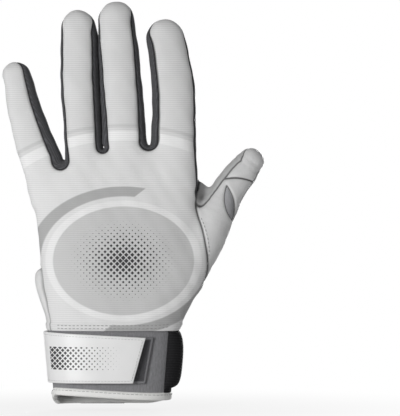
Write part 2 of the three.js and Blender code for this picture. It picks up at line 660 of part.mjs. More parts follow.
// Pull tab: a flat trapezoid that hangs from the palm seam past the hem
const tabTop = cuffTop - SEAM_TAPE_HEIGHT - SEAM_GAP;
const tabBottom = -TAB_OVERHANG;
const tabFace = CUFF_DEPTH / 2 + hemLift + LAYER_GAP;
const tabOutline = new THREE.Shape([
  new THREE.Vector2(-TAB_TOP_WIDTH / 2, tabTop),
  new THREE.Vector2(-TAB_BOTTOM_WIDTH / 2, tabBottom),
  new THREE.Vector2(TAB_BOTTOM_WIDTH / 2, tabBottom),
  new THREE.Vector2(TAB_TOP_WIDTH / 2, tabTop),
]);
const tabGeometry = new THREE.ExtrudeGeometry(tabOutline, { depth: TAB_THICKNESS, bevelEnabled: false });
tabGeometry.rotateX(Math.PI / 2);
tabGeometry.translate(TAB_CENTRE, tabFace + TAB_THICKNESS, 0);
const tabHinge = new THREE.Vector3(TAB_CENTRE, tabFace + TAB_THICKNESS, tabTop);
const tabFold = addFold(glove, 'pull_tab_fold', tabHinge, new THREE.Vector3(1, 0, 0));
addPiece(tabFold, 'pull_tab', tabGeometry, 'webbing');

export default glove;
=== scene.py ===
"""A padded inner glove for the left hand: every panel, pad, stitch and trim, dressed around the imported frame.

Sizes are in millimetres and become metres where a mesh is made. The fingers point to +Z, the back of the
hand faces -Y, the palm faces +Y and the thumb lies on +X. The sewn body of the glove is one smooth form that
is cut into its panels along the seams, so that neighbouring panels meet exactly.
"""
import json
import math
from itertools import product

import bpy
import numpy as np
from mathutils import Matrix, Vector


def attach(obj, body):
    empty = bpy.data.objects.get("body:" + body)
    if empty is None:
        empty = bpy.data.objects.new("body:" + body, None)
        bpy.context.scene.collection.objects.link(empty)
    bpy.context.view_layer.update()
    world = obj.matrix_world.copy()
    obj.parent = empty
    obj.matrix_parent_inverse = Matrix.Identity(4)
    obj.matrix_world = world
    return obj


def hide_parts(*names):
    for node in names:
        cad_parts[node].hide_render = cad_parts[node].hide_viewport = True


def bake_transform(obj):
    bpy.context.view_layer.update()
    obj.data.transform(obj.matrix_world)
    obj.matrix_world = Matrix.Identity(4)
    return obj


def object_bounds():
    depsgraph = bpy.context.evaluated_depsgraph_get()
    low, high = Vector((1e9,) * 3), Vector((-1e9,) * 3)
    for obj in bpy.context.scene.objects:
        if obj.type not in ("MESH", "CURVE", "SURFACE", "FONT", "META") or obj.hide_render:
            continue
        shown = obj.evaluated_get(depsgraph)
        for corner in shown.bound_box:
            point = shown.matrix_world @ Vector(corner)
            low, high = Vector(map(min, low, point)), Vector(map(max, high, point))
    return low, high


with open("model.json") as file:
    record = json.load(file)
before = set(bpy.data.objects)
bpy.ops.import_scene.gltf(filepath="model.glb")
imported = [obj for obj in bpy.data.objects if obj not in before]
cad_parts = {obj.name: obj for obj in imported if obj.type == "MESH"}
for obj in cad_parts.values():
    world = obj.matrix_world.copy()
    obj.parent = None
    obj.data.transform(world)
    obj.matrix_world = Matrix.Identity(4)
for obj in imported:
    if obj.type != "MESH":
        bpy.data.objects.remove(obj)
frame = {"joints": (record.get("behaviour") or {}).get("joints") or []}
cad_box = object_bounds()

# Units and mesh spacing
MM = 0.001
MM_PER_METRE = 1000
GRID_STEP = 1.2
GRID_CHUNKS = 16
PROBE = 0.05

# Place of each fold
fold_points = {joint["name"]: np.array(joint["pos_m"]) * MM_PER_METRE for joint in frame["joints"]}

# Fingers, from the little finger to the index: widths, length from the knuckle fold, place of the middle
# joint and sideways lean in degrees. Their places and depths come from the folds in the frame.
FINGER_SIZES = {
    "little": dict(base_width=22.6, tip_width=15.8, length=67.5, middle=19.5, lean=15.5),
    "ring": dict(base_width=22.0, tip_width=20.2, length=89.5, middle=24.0, lean=2.4),
    "middle": dict(base_width=24.8, tip_width=22.2, length=94.2, middle=25.5, lean=4.4),
    "index": dict(base_width=25.6, tip_width=22.4, length=83.0, middle=24.5, lean=3.6),
}
# How much fuller the worn cloth is than the pattern on the little-finger side and on the thumb side of each
# finger: at its base, half way and near the tip
FINGER_FULLNESS = {
    "little": ((1.0, 2.2, 1.3), (1.8, -0.9, 0.4)),
    "ring": ((0.6, 2.0, 1.3), (0.3, -0.1, 0.2)),
    "middle": ((0.6, 0.0, 0.3), (0.6, 0.8, -0.3)),
    "index": ((0.2, -2.0, 0.6), (2.0, 4.2, 0.5)),
}
FINGER_BEND = math.radians(16)
FINGER_THINNING = 1.0
FINGER_ROUNDNESS = 2.2
FINGER_START = 4.0
FINGER_ROOT = -22.0
FINGER_ROOT_ROUNDING = 5.0
FINGER_WEB_RADIUS = 3.6
FULLNESS_END = 8.0
SEAM_SAMPLES = 400
# Where the seams of a finger start to turn in, before its round tip, and where they are level, before its end
TIP_TURN_START = 6.0
TIP_TURN_END = 1.0
# Length over which a seam of the hand becomes the seam of a finger
SEAM_HANDOVER = 6.0

# Height of the seam between the back panel and the side strip, as a share of the finger's half depth: on the
# little-finger side of each finger, then on its thumb side, each at the base, before the tip and on the tip.
# A share above 1 turns the back panel away from that side.
BACK_EDGES = {
    "little": ((0.17, 0.17, -0.2), (1.50, 1.46, 1.50)),
    "ring": ((0.56, 0.50, 0.30), (0.82, 0.72, 0.30)),
    "middle": ((0.62, 0.28, 0.30), (0.87, 0.72, 0.30)),
    "index": ((0.80, 0.74, 0.42), (0.42, 0.32, 0.30)),
}
# The same for the palm panel, with one share for each side
PALM_EDGES = {"little": (0.36, 0.30), "ring": (0.30, 0.50), "middle": (0.50, 0.30), "index": (0.30, 0.10)}
TIP_PALM_EDGE = 0.06

# Hand: outline and depths between the cuff seam and the finger row
CUFF_TOP = 42.5
HAND_HEIGHTS = (CUFF_TOP, 58.0, 76.0, 98.0, 120.0, 150.4)
HAND_LEFT = (-39.0, -41.4, -43.2, -44.5, -48.0, -52.8)
HAND_RIGHT = (40.8, 48.6, 57.4, 56.0, 52.5, 49.6)
HAND_BACK = (20.0, 19.5, 19.0, 17.5, 15.0, 10.1)
HAND_PALM = (20.0, 22.0, 22.5, 20.5, 17.0, 10.1)
HAND_ROUNDNESS = 2.6
WEB_PLACES = ((-54.0, 134.0), (-32.3, 143.0), (-4.0, 152.2), (24.4, 153.8), (50.0, 149.0))
WEB_ROUNDING = 7.0
# Lower ends of the dark cloth between the fingers
CROTCH_BOTTOMS = (140.3, 150.4, 152.0)

# Thumb: its middle line from inside the hand to the tip, with the radius at each place
THUMB_LINE = (
    ((45.0, 2.0, 78.0), 12.0),
    ((55.5, 3.5, 97.0), 13.0),
    ((62.0, 5.0, 111.5), 12.4),
    ((67.6, 6.8, 121.8), 10.9),
    ((73.0, 8.3, 130.4), 10.0),
    ((79.8, 9.4, 139.4), 9.7),
    ((84.5, 9.3, 145.5), 8.0),
)
THUMB_SAMPLES = 22
THUMB_ROLL = math.radians(20)
THUMB_WEB_RADIUS = 6.0
THUMB_SEAM = (
    (58.0, 150.0), (51.4, 121.0), (51.8, 115.0), (55.2, 103.7), (58.4, 88.0), (58.8, 80.0), (57.0, 70.0),
)
THUMB_CAP = dict(place=(77.0, 133.4), slope=-0.10, bow=1.8, half_width=10.0)
THUMB_BACK_EDGE = 5.6
THUMB_TIP_EDGE = -1.5
THUMB_PALM_EDGE = 4.6
THUMB_LENS = dict(top=(70.0, 130.4), bottom=(73.6, 109.6), half_width=2.6)
# Flat web between the index and the thumb: its corners seen from the back, its depth and half its thickness
THUMB_FLAP = dict(corners=((45.0, 140.6), (59.4, 127.2), (46.0, 112.0)), depth=5.4, half=1.5)
THUMB_FLAP_EDGE = 1.2
THUMB_FLAP_JOIN = 3.0
# Where the seams start to turn in for the thumb's tip, along its line from the last place
THUMB_TIP_TURN = -4.0
# Outside a box around its middle line the thumb counts as far away
THUMB_MARGIN = 24.0
THUMB_FAR = 30.0
# Beside the thumb the palm panel's seam runs deeper: where it starts across and along the hand, and its depth
THUMB_SIDE = (34.0, 43.0)
THUMB_SIDE_TOP = (149.0, 143.5)
THUMB_SIDE_DEPTH = 6.6

# Sheets: wall of each kind, how deep a seam pulls its edges in and how far a panel swells beside it
KNIT_WALL = 1.0
LEATHER_WALL = 1.2
STRIP_WALL = 0.9
SEAM_TUCK = 0.75
SEAM_WIDTH = 0.9
PANEL_SWELL = 0.45
SWELL_REACH = 3.0
STRIP_SINK = 0.25
FAR_FROM_SEAMS = 20.0
# Strips that bulge into a narrow gap: side of the finger, height of the bulge and its place towards the back
STRIP_BULGES = {"ring": (1, 2.0, -2.6), "middle": (-1, 1.8, 3.2)}
BULGE_START = 2.5
BULGE_END = 8.0
BULGE_EDGE = 3.0
BULGE_HALF = 3.2


def lerp(a, b, t):
    return a + (b - a) * t


def smoothstep(low, high, x):
    t = np.clip((x - low) / (high - low), 0.0, 1.0)
    return t * t * (3.0 - 2.0 * t)


def smooth_min(a, b, radius):
    share = np.clip(0.5 + 0.5 * (b - a) / radius, 0.0, 1.0)
    return lerp(b, a, share) - radius * share * (1.0 - share)


def smooth_max(a, b, radius):
    return -smooth_min(-a, -b, radius)


def curve_through(places, values):
    """A smooth curve through values at rising places, level beyond both ends."""
    places = np.asarray(places, float)
    values = np.asarray(values, float)
    before = np.maximum(np.arange(len(places)) - 1, 0)
    after = np.minimum(np.arange(len(places)) + 1, len(places) - 1)
    run = (places[after] - places[before]).reshape((-1,) + (1,) * (values.ndim - 1))
    slopes = (values[after] - values[before]) / run

    def curve(x):
        x = np.clip(np.asarray(x, float), places[0], places[-1])
        i = np.clip(np.searchsorted(places, x, side="right") - 1, 0, len(places) - 2)
        span = places[i + 1] - places[i]
        t = (x - places[i]) / span
        shape = t.shape + (1,) * (values.ndim - 1)
        t, span = t.reshape(shape), span.reshape(shape)
        start = values[i] * (1 + 2 * t) * (1 - t) ** 2
        end = values[i + 1] * t ** 2 * (3 - 2 * t)
        return start + end + span * t * (1 - t) * (slopes[i] * (1 - t) - slopes[i + 1] * t)

    return curve


def run_lengths(line):
    """Length of a line of points from its start to each of them."""
    steps = np.linalg.norm(np.diff(line, axis=0), axis=1)
    return np.concatenate([[0.0], np.cumsum(steps)])


def along_line(where, places, values):
    """Rows of values between those that are known at some places along a line."""
    return np.stack([np.interp(where, places, column) for column in values.T], axis=1)


def away_from_segment(points, a, b):
    """Offset of each point from the nearest place of a segment, and that place as a share of its length."""
    step = b - a
    share = np.clip((points - a) @ step / (step @ step), 0.0, 1.0)
    return points - a - share[:, None] * step, share


def line_distance(x, z, line):
    points = np.stack([x, z], axis=1)
    ends = zip(np.array(line), np.array(line)[1:])
    return np.minimum.reduce([np.linalg.norm(away_from_segment(points, a, b)[0], axis=1) for a, b in ends])


def polygon_distance(x, z, corners):
    """Distance from a convex polygon, whose corners run clockwise or not, negative inside."""
    ring = np.array(corners + corners[:1])
    points = np.stack([x, z], axis=1)
    middle = np.mean(corners, axis=0)
    inside = np.ones(len(x), bool)
    for a, b in zip(ring, ring[1:]):
        turn = np.array([a[1] - b[1], b[0] - a[0]])
        inside &= ((points - a) @ turn) * ((middle - a) @ turn) > 0
    nearest = line_distance(x, z, ring)
    return np.where(inside, -nearest, nearest)


def section_distance(across, height, half_width, half_height, roundness):
    """Distance from a superellipse, negative inside."""
    u = np.abs(across) / half_width
    v = np.abs(height) / half_height
    size = (u ** roundness + v ** roundness) ** (1 / roundness) + 1e-6
    slope = np.hypot(u ** (roundness - 1) / half_width, v ** (roundness - 1) / half_height)
    slope = slope * size ** (1 - roundness)
    return (size - 1) / np.maximum(slope, 0.5 / np.maximum(half_width, half_height))


class Finger:
    """A bent, tapering finger with its own across, along and dorsal coordinates."""

    def __init__(self, name, base_width, tip_width, length, middle, lean):
        fold = fold_points[f"{name}_knuckle_fold"]
        self.name = name
        self.base = np.array([fold[0], 0.0, fold[2]])
        self.half_depth = fold[1]
        self.half_width = base_width / 2
        self.tip_half_width = tip_width / 2
        self.length = length
        self.middle = middle
        self.tip_start = length - tip_width / 2
        self.right = np.array([math.cos(math.radians(lean)), 0.0, math.sin(math.radians(lean))])
        self.along = np.array([-self.right[2], 0.0, self.right[0]])
        self.radius = length / FINGER_BEND
        stations = (FINGER_START, length / 2, length - FULLNESS_END)
        outer, inner = (np.array(side) for side in FINGER_FULLNESS[name])
        self.fullness = curve_through(stations, (inner + outer) / 2)
        self.shift = curve_through(stations, (inner - outer) / 2)

    def place(self, points):
        """Distances across the finger, along it from the knuckle fold, and towards its back."""
        offset = points - self.base
        across = offset @ self.right
        ahead = offset @ self.along
        inwards = self.radius - offset[:, 1]
        bent = ahead > 0
        along = np.where(bent, self.radius * np.arctan2(ahead, inwards), ahead)
        dorsal = np.where(bent, np.hypot(ahead, inwards) - self.radius, -offset[:, 1])
        return across - self.shift(along), along, dorsal

    def sizes(self, along):
        share = np.clip(along / self.tip_start, 0.0, 1.0)
        half_width = lerp(self.half_width, self.tip_half_width, share ** 2) + self.fullness(along)
        return half_width, self.half_depth - FINGER_THINNING * share

    def field(self, points):
        across, along, dorsal = self.place(points)
        half_width, half_depth = self.sizes(along)
        side = np.hypot(across, np.maximum(along - self.tip_start, 0.0))
        section = section_distance(side, dorsal, half_width, half_depth, FINGER_ROUNDNESS)
        return smooth_max(section, FINGER_ROOT - along, FINGER_ROOT_ROUNDING)

    def point(self, across, along, dorsal):
        """The point at a place in the finger's own coordinates."""
        along = np.asarray(along, float)
        turn = along / self.radius
        reach = self.radius + dorsal
        ahead = reach * np.sin(turn)
        palmward = self.radius - reach * np.cos(turn)
        sideways = across + self.shift(along)
        steps = ((sideways, self.right), (ahead, self.along), (palmward, np.array([0.0, 1.0, 0.0])))
        return self.base + sum(np.multiply.outer(size, direction) for size, direction in steps)

    def tip_share(self, along):
        return smoothstep(self.tip_start - TIP_TURN_START, self.length - TIP_TURN_END, along)

    def back_gap(self, points):
        """Height above the seam of the back panel."""
        across, along, dorsal = self.place(points)
        half_width, half_depth = self.sizes(along)
        share = np.clip(along / self.tip_start, 0.0, 1.0)
        tip = self.tip_share(along)
        outer, inner = (lerp(lerp(base, near, share), end, tip) for base, near, end in BACK_EDGES[self.name])
        inwards = np.clip(0.5 + 0.5 * across / half_width, 0.0, 1.0)
        return dorsal - half_depth * lerp(outer, inner, inwards ** 2)

    def seam_place(self, side):
        """X and Z of the seam of the back panel on one side, where the finger leaves the hand."""
        share = np.linspace(0.0, 1.0, SEAM_SAMPLES)
        dorsal = (1 - share ** FINGER_ROUNDNESS) ** (1 / FINGER_ROUNDNESS)
        outer, inner = (edges[0] for edges in BACK_EDGES[self.name])
        meets = share[np.argmax(dorsal < lerp(outer, inner, (0.5 + 0.5 * side * share) ** 2))]
        half_width, _ = self.sizes(np.array(FINGER_START))
        return self.point(side * meets * half_width, FINGER_START, 0.0)[[0, 2]]

    def palm_edge(self, side, along):
        """Share of the half depth at the seam of the palm panel, on a side between -1 and 1."""
        edge = lerp(*PALM_EDGES[self.name], np.clip(0.5 + 0.5 * side, 0.0, 1.0))
        return lerp(edge, TIP_PALM_EDGE, self.tip_share(along))

    def palm_gap(self, points):
        """Depth below the seam of the palm panel."""
        across, along, dorsal = self.place(points)
        half_width, half_depth = self.sizes(along)
        return -dorsal - self.palm_edge(across / half_width, along) * half_depth


fingers = [Finger(name, **sizes) for name, sizes in FINGER_SIZES.items()]


def nearest_finger(points):
    """Index of the finger whose skin is nearest to a point."""
    return np.argmin([finger.field(points) for finger in fingers], axis=0)


hand_left = curve_through(HAND_HEIGHTS, HAND_LEFT)
hand_right = curve_through(HAND_HEIGHTS, HAND_RIGHT)
hand_back = curve_through(HAND_HEIGHTS, HAND_BACK)
hand_palm = curve_through(HAND_HEIGHTS, HAND_PALM)
web_height = curve_through(*zip(*WEB_PLACES))


def hand_field(points):
    x, y, z = points.T
    left, right = hand_left(z), hand_right(z)
    depth = np.where(y < 0, hand_back(z), hand_palm(z))
    section = section_distance(x - (left + right) / 2, y, (right - left) / 2, depth, HAND_ROUNDNESS)
    return smooth_max(section, z - web_height(x), WEB_ROUNDING)


class Thumb:
    """A round, tapering thumb along its middle line."""

    def __init__(self):
        centres = np.array([centre for centre, _ in THUMB_LINE])
        radii = np.array([radius for _, radius in THUMB_LINE])
        places = run_lengths(centres)
        samples = np.linspace(0.0, places[-1], THUMB_SAMPLES)
        self.centres = curve_through(places, centres)(samples)
        self.radii = curve_through(places, radii)(samples)
        heights, seam = zip(*sorted((z, x) for x, z in THUMB_SEAM))
        self.seam_x = curve_through(heights, seam)
        self.low = self.centres.min(0) - THUMB_MARGIN
        self.high = self.centres.max(0) + THUMB_MARGIN

    def place(self, points):
        """Distance from the skin, offset from the middle line and the direction of that line."""
        distance = np.full(len(points), np.inf)
        offset = np.zeros_like(points)
        ahead = np.zeros_like(points)
        for a, b, ra, rb in zip(self.centres, self.centres[1:], self.radii, self.radii[1:]):
            away, share = away_from_segment(points, a, b)
            gap = np.linalg.norm(away, axis=1) - lerp(ra, rb, share)
            closer = gap < distance
            distance = np.where(closer, gap, distance)
            offset[closer] = away[closer]
            ahead[closer] = (b - a) / np.linalg.norm(b - a)
        return distance, offset, ahead

    def field(self, points):
        near = np.all((points > self.low) & (points < self.high), axis=1)
        distance = np.full(len(points), THUMB_FAR)
        distance[near] = self.place(points[near])[0]
        return distance

    def dorsal(self, points):
        _, offset, ahead = self.place(points)
        back = np.array([math.sin(THUMB_ROLL), -math.cos(THUMB_ROLL), 0.0])
        back = back - (ahead @ back)[:, None] * ahead
        back /= np.linalg.norm(back, axis=1)[:, None]
        return np.sum(offset * back, axis=1)

    def side(self, points):
        """Positive on the side away from the fingers."""
        _, offset, ahead = self.place(points)
        across = np.stack([ahead[:, 2], np.zeros(len(points)), -ahead[:, 0]], axis=1)
        return np.sum(offset * across, axis=1)

    def seam_gap(self, points):
        """Distance past the seam that joins the thumb to the hand."""
        return points[:, 0] - self.seam_x(points[:, 2])

    def cap_gap(self, points):
        """Distance past the seam of the tip cap."""
        x, z = THUMB_CAP["place"]
        across = points[:, 0] - x
        bow = THUMB_CAP["bow"] * (1 - np.clip(across / THUMB_CAP["half_width"], -1.0, 1.0) ** 2)
        return points[:, 2] - z - THUMB_CAP["slope"] * across - bow

    def back_gap(self, points):
        return self.dorsal(points) - lerp(THUMB_BACK_EDGE, THUMB_TIP_EDGE, self.tip_share(points))

    def palm_gap(self, points):
        return -self.dorsal(points) - THUMB_PALM_EDGE

    def tip_share(self, points):
        tip = self.centres[-1]
        ahead = tip - self.centres[-2]
        ahead /= np.linalg.norm(ahead)
        return smoothstep(THUMB_TIP_TURN, self.radii[-1], (points - tip) @ ahead)

    def lens_gap(self, points):
        """Distance inside the pointed insert on the thumb's back."""
        top, bottom = np.array(THUMB_LENS["top"]), np.array(THUMB_LENS["bottom"])
        axis = top - bottom
        half = np.linalg.norm(axis) / 2
        axis /= 2 * half
        offset = points[:, [0, 2]] - (top + bottom) / 2
        along = offset @ axis
        across = np.abs(offset @ np.array([axis[1], -axis[0]]))
        width = THUMB_LENS["half_width"]
        radius = (half ** 2 + width ** 2) / (2 * width)
        return radius - np.hypot(along, across + radius - width)


thumb = Thumb()


def flap_field(points):
    flat = polygon_distance(points[:, 0], points[:, 2], THUMB_FLAP["corners"]) - THUMB_FLAP_EDGE
    return smooth_max(flat, np.abs(points[:, 1] - THUMB_FLAP["depth"]) - THUMB_FLAP["half"], THUMB_FLAP_EDGE)


def glove_field(points):
    hand = hand_field(points)
    joined = hand
    for finger in fingers:
        joined = np.minimum(joined, smooth_min(hand, finger.field(points), FINGER_WEB_RADIUS))
    joined = smooth_min(joined, thumb.field(points), THUMB_WEB_RADIUS)
    return smooth_min(joined, flap_field(points), THUMB_FLAP_JOIN)


def gradient(field, points):
    slopes = [field(points + PROBE * axis) - field(points - PROBE * axis) for axis in np.eye(3)]
    return np.stack(slopes, axis=1) / (2 * PROBE)


def surface_normals(points):
    slope = gradient(glove_field, points)
    return slope / np.linalg.norm(slope, axis=1)[:, None]


def onto_surface(points, rounds=1):
    for _ in range(rounds):
        slope = gradient(glove_field, points)
        points = points - slope * (glove_field(points) / np.sum(slope ** 2, axis=1))[:, None]
    return points


class Patch:
    """Triangles on the glove's surface."""

    def __init__(self, points, faces):
        self.points = points
        self.faces = faces

    def part(self, keep):
        used, faces = np.unique(self.faces[keep], return_inverse=True)
        return Patch(self.points[used], faces.reshape(-1, 3))

    def centres(self):
        return self.points[self.faces].mean(axis=1)


def surface_net(field, low, high, step):
    """A mesh of the surface where a field is zero, with one point in each grid cell that it crosses."""
    counts = [int(math.ceil((b - a) / step)) + 1 for a, b in zip(low, high)]
    axes = [a + step * np.arange(count) for a, count in zip(low, counts)]
    grid = np.stack(np.meshgrid(*axes, indexing="ij"), axis=-1).reshape(-1, 3)
    values = np.concatenate([field(chunk) for chunk in np.array_split(grid, GRID_CHUNKS)]).reshape(counts)
    inside = values < 0
    corners = [inside[i:counts[0] - 1 + i, j:counts[1] - 1 + j, k:counts[2] - 1 + k]
               for i, j, k in product((0, 1), repeat=3)]
    filled = np.sum(corners, axis=0)
    active = (filled > 0) & (filled < len(corners))
    cells = np.argwhere(active)
    total = np.zeros(cells.shape)
    hits = np.zeros(len(cells))
    units = np.eye(3, dtype=int)
    for axis in range(3):
        u, v = units[(axis + 1) % 3], units[(axis + 2) % 3]
        for offset in (0 * u, u, v, u + v):
            start = cells + offset
            a = values[tuple(start.T)]
            b = values[tuple((start + units[axis]).T)]
            crossing = (a < 0) != (b < 0)
            share = np.where(crossing, a / np.where(crossing, a - b, 1.0), 0.0)
            total += np.where(crossing[:, None], start + share[:, None] * units[axis], 0.0)
            hits += crossing
    points = np.array(low) + step * total / hits[:, None]
    index = np.full(active.shape, -1)
    index[active] = np.arange(len(cells))
    quads = []
    for axis in range(3):
        u, v = units[(axis + 1) % 3], units[(axis + 2) % 3]
        shape = [count - 1 if k == axis else count for k, count in enumerate(counts)]
        ends = inside[tuple(slice(0, n) for n in shape)]
        others = inside[tuple(slice(int(k == axis), int(k == axis) + n) for k, n in enumerate(shape))]
        edges = np.argwhere(ends != others)
        room = np.array(active.shape)
        edges = edges[np.all((edges - u - v >= 0) & (edges < room), axis=1)]
        corners = [index[tuple((edges - offset).T)] for offset in (u + v, v, 0 * u, u)]
        ring = np.stack(corners, axis=1)
        outward = ends[tuple(edges.T)]
        quads.append(np.where(outward[:, None], ring, ring[:, ::-1]))
    a, b, c, d = np.concatenate(quads).T
    short = np.linalg.norm(points[a] - points[c], axis=1) < np.linalg.norm(points[b] - points[d], axis=1)
    first = np.where(short[:, None], np.stack([a, b, c], 1), np.stack([a, b, d], 1))
    second = np.where(short[:, None], np.stack([a, c, d], 1), np.stack([b, c, d], 1))
    return Patch(points, np.concatenate([first, second]))


def relax(patch, rounds):
    """Evens out the triangles without leaving the surface."""
    points = patch.points
    edges = np.unique(np.sort(np.concatenate([patch.faces[:, [0, 1]], patch.faces[:, [1, 2]],
                                              patch.faces[:, [2, 0]]]), axis=1), axis=0)
    counts = np.bincount(edges.ravel(), minlength=len(points))[:, None]
    for _ in range(rounds):
        total = np.zeros_like(points)
        np.add.at(total, edges[:, 0], points[edges[:, 1]])
        np.add.at(total, edges[:, 1], points[edges[:, 0]])
        points = onto_surface(lerp(points, total / counts, 0.5))
    return Patch(points, patch.faces)


SNAP = 0.3 * GRID_STEP
TOUCH = 0.02
LEAST_SLOPE = 0.05


def snapped(points, field):
    """Points close to the line where a field is zero move onto it along the surface."""
    points = points.copy()
    values = field(points)
    near = np.abs(values) < SNAP
    if near.any():
        close = points[near]
        slope = gradient(field, close)
        normal = surface_normals(close)
        slope -= np.sum(slope * normal, axis=1)[:, None] * normal
        move = -slope * (values[near] / np.maximum(np.sum(slope ** 2, axis=1), LEAST_SLOPE))[:, None]
        reach = np.linalg.norm(move, axis=1)
        move[reach > 2 * SNAP] = 0.0
        points[near] = onto_surface(close + move)
    return points


def divide(patch, field):
    """Cuts a patch along the line where a field is zero, into the part above zero and the part below."""
    points = snapped(patch.points, field)
    values = field(points)
    values[np.abs(values) < TOUCH] = 0.0
    sign = np.sign(values).astype(int)
    around = sign[patch.faces]
    crossing = (around.min(axis=1) < 0) & (around.max(axis=1) > 0)
    cut = patch.faces[crossing]
    ends = np.stack([cut, np.roll(cut, -1, axis=1)], axis=2)
    splits = sign[ends[..., 0]] * sign[ends[..., 1]] < 0
    edges, which = np.unique(np.sort(ends[splits], axis=1), axis=0, return_inverse=True)
    added = np.full(splits.shape, -1)
    added[splits] = len(points) + which.ravel()
    a, b = values[edges[:, 0]], values[edges[:, 1]]
    share = (a / (a - b))[:, None]
    new_points = lerp(points[edges[:, 0]], points[edges[:, 1]], share)
    points = np.concatenate([points, onto_surface(new_points)]) if len(edges) else points
    sign = np.concatenate([sign, np.zeros(len(edges), int)])
    twice = splits.sum(axis=1) == 2
    turn = np.where(twice, np.argmin(splits, axis=1) + 2, np.argmax(splits, axis=1) + 2) % 3
    order = (turn[:, None] + np.arange(3)) % 3
    corner = np.take_along_axis(cut, order, axis=1)
    middle = np.take_along_axis(added, order, axis=1)
    lone = [(corner[:, 0], middle[:, 0], middle[:, 2]), (middle[:, 0], corner[:, 1], corner[:, 2]),
            (middle[:, 0], corner[:, 2], middle[:, 2])]
    touching = [(corner[:, 0], corner[:, 1], middle[:, 1]), (corner[:, 0], middle[:, 1], corner[:, 2])]
    pieces = [patch.faces[~crossing]]
    pieces += [np.stack(face, axis=1)[twice] for face in lone]
    pieces += [np.stack(face, axis=1)[~twice] for face in touching]
    whole = Patch(points, np.concatenate(pieces))
    above = sign[whole.faces].sum(axis=1) > 0
    return whole.part(above), whole.part(~above)


# Pads, each sewn into the leather of the palm side: place along the finger, width and corner radius
FINGER_PADS = {
    "index_base_pad": dict(finger="index", start=5.8, end=21.6, width=15.4, corner=4.0),
    "index_tip_pad": dict(finger="index", start=27.2, end=62.0, width=15.8, corner=6.8),
    "middle_base_pad": dict(finger="middle", start=5.8, end=22.8, width=14.8, corner=5.6),
    "middle_tip_pad": dict(finger="middle", start=28.2, end=66.0, width=16.2, corner=6.8),
    "ring_base_pad": dict(finger="ring", start=4.8, end=21.8, width=14.6, corner=6.6),
}
PAD_CROWN = 2.0
PAD_SHOULDER = 4.5
PAD_ROUNDNESS = 2.2
PALM_PAD_CORNERS = ((27.0, 133.4), (-0.2, 131.5), (-3.6, 119.8), (9.4, 110.7), (27.6, 125.0))
PALM_PAD_RADIUS = 10.5
PALM_PAD_CROWN = 2.4
HEEL_TOP = 80.5
HEEL_ROUNDING = 4.0
HEEL_HALF_WIDTH = curve_through((44.0, 53.0, 61.0, 70.0, 78.0), (9.4, 8.8, 8.3, 6.6, 5.6))
HEEL_CROWN = curve_through((47.0, 53.0, 58.0, 64.0, 70.0, 75.0, 79.0), (0.3, 0.5, 1.2, 2.7, 3.6, 3.8, 3.0))
HEEL_SHOULDER = 4.0


def rounded_box_gap(a, b, half_a, half_b, corner):
    """Distance inside a rectangle with round corners."""
    past_a = np.abs(a) - half_a + corner
    past_b = np.abs(b) - half_b + corner
    outside = np.hypot(np.maximum(past_a, 0.0), np.maximum(past_b, 0.0))
    return corner - outside - np.minimum(np.maximum(past_a, past_b), 0.0)


def finger_pad_gap(finger, pad):
    """A field that is positive inside a pad on the palm side of a finger."""
    middle = (pad["start"] + pad["end"]) / 2
    half = (pad["end"] - pad["start"]) / 2

    def gap(points):
        across, along, dorsal = finger.place(points)
        inside = rounded_box_gap(across, along - middle, pad["width"] / 2, half, pad["corner"])
        return np.where(dorsal < 0, inside, -half)

    return gap


def palm_pad_gap(points):
    x, y, z = points.T
    return np.where(y > 0, PALM_PAD_RADIUS - polygon_distance(x, z, PALM_PAD_CORNERS), -FAR_FROM_SEAMS)


def heel_gap(points):
    """Distance inside the padded heel at the little-finger edge of the hand."""
    x, y, z = points.T
    inside = smooth_min(HEEL_HALF_WIDTH(z) - np.abs(y), HEEL_TOP - z, HEEL_ROUNDING)
    return np.where(x < 0, inside, -FAR_FROM_SEAMS)


hand_edge_places = [finger.base[0] + side * finger.half_width for finger in fingers for side in (-1, 1)]
hand_palm_edges = [edge * finger.half_depth for finger in fingers for edge in PALM_EDGES[finger.name]]
flank_places = (hand_edge_places[0], hand_edge_places[-1])
flank_edges = (
    BACK_EDGES["little"][0][0] * fingers[0].half_depth,
    BACK_EDGES["index"][1][0] * fingers[-1].half_depth,
)


def crotch_distance(points, left, right, bottom):
    """Distance from the strip of dark cloth between two fingers, which is round at its lower end."""
    start, end = left.seam_place(1), right.seam_place(-1)
    ahead = (left.along + right.along)[[0, 2]]
    ahead /= np.linalg.norm(ahead)
    radius = abs(np.cross(end - start, ahead)) / 2
    middle = (start + end) / 2
    low = middle + ahead * (bottom + radius - middle[1]) / ahead[1]
    offset = points[:, [0, 2]] - low
    along = np.maximum(offset @ ahead, 0.0)
    return np.linalg.norm(offset - along[:, None] * ahead, axis=1) - radius


def hand_back_gap(points):
    gaps = [-points[:, 1] - np.interp(points[:, 0], flank_places, flank_edges)]
    for left, right, bottom in zip(fingers, fingers[1:], CROTCH_BOTTOMS):
        gaps.append(crotch_distance(points, left, right, bottom))
    return np.minimum.reduce(gaps)


def base_back_gap(finger):
    """The seam of the back panel on a finger's base, which starts where the hand's seam ends."""
    def gap(points):
        own = smoothstep(0.0, SEAM_HANDOVER, finger.place(points)[1] - FINGER_START)
        return lerp(hand_back_gap(points), finger.back_gap(points), own)

    return gap


def hand_palm_gap(points):
    """Depth below the seam of the palm panel, which runs deeper beside the thumb."""
    x, y, z = points.T
    beside = smoothstep(*THUMB_SIDE, x) * smoothstep(*THUMB_SIDE_TOP, z)
    return y - np.interp(x, hand_edge_places, hand_palm_edges) - THUMB_SIDE_DEPTH * beside


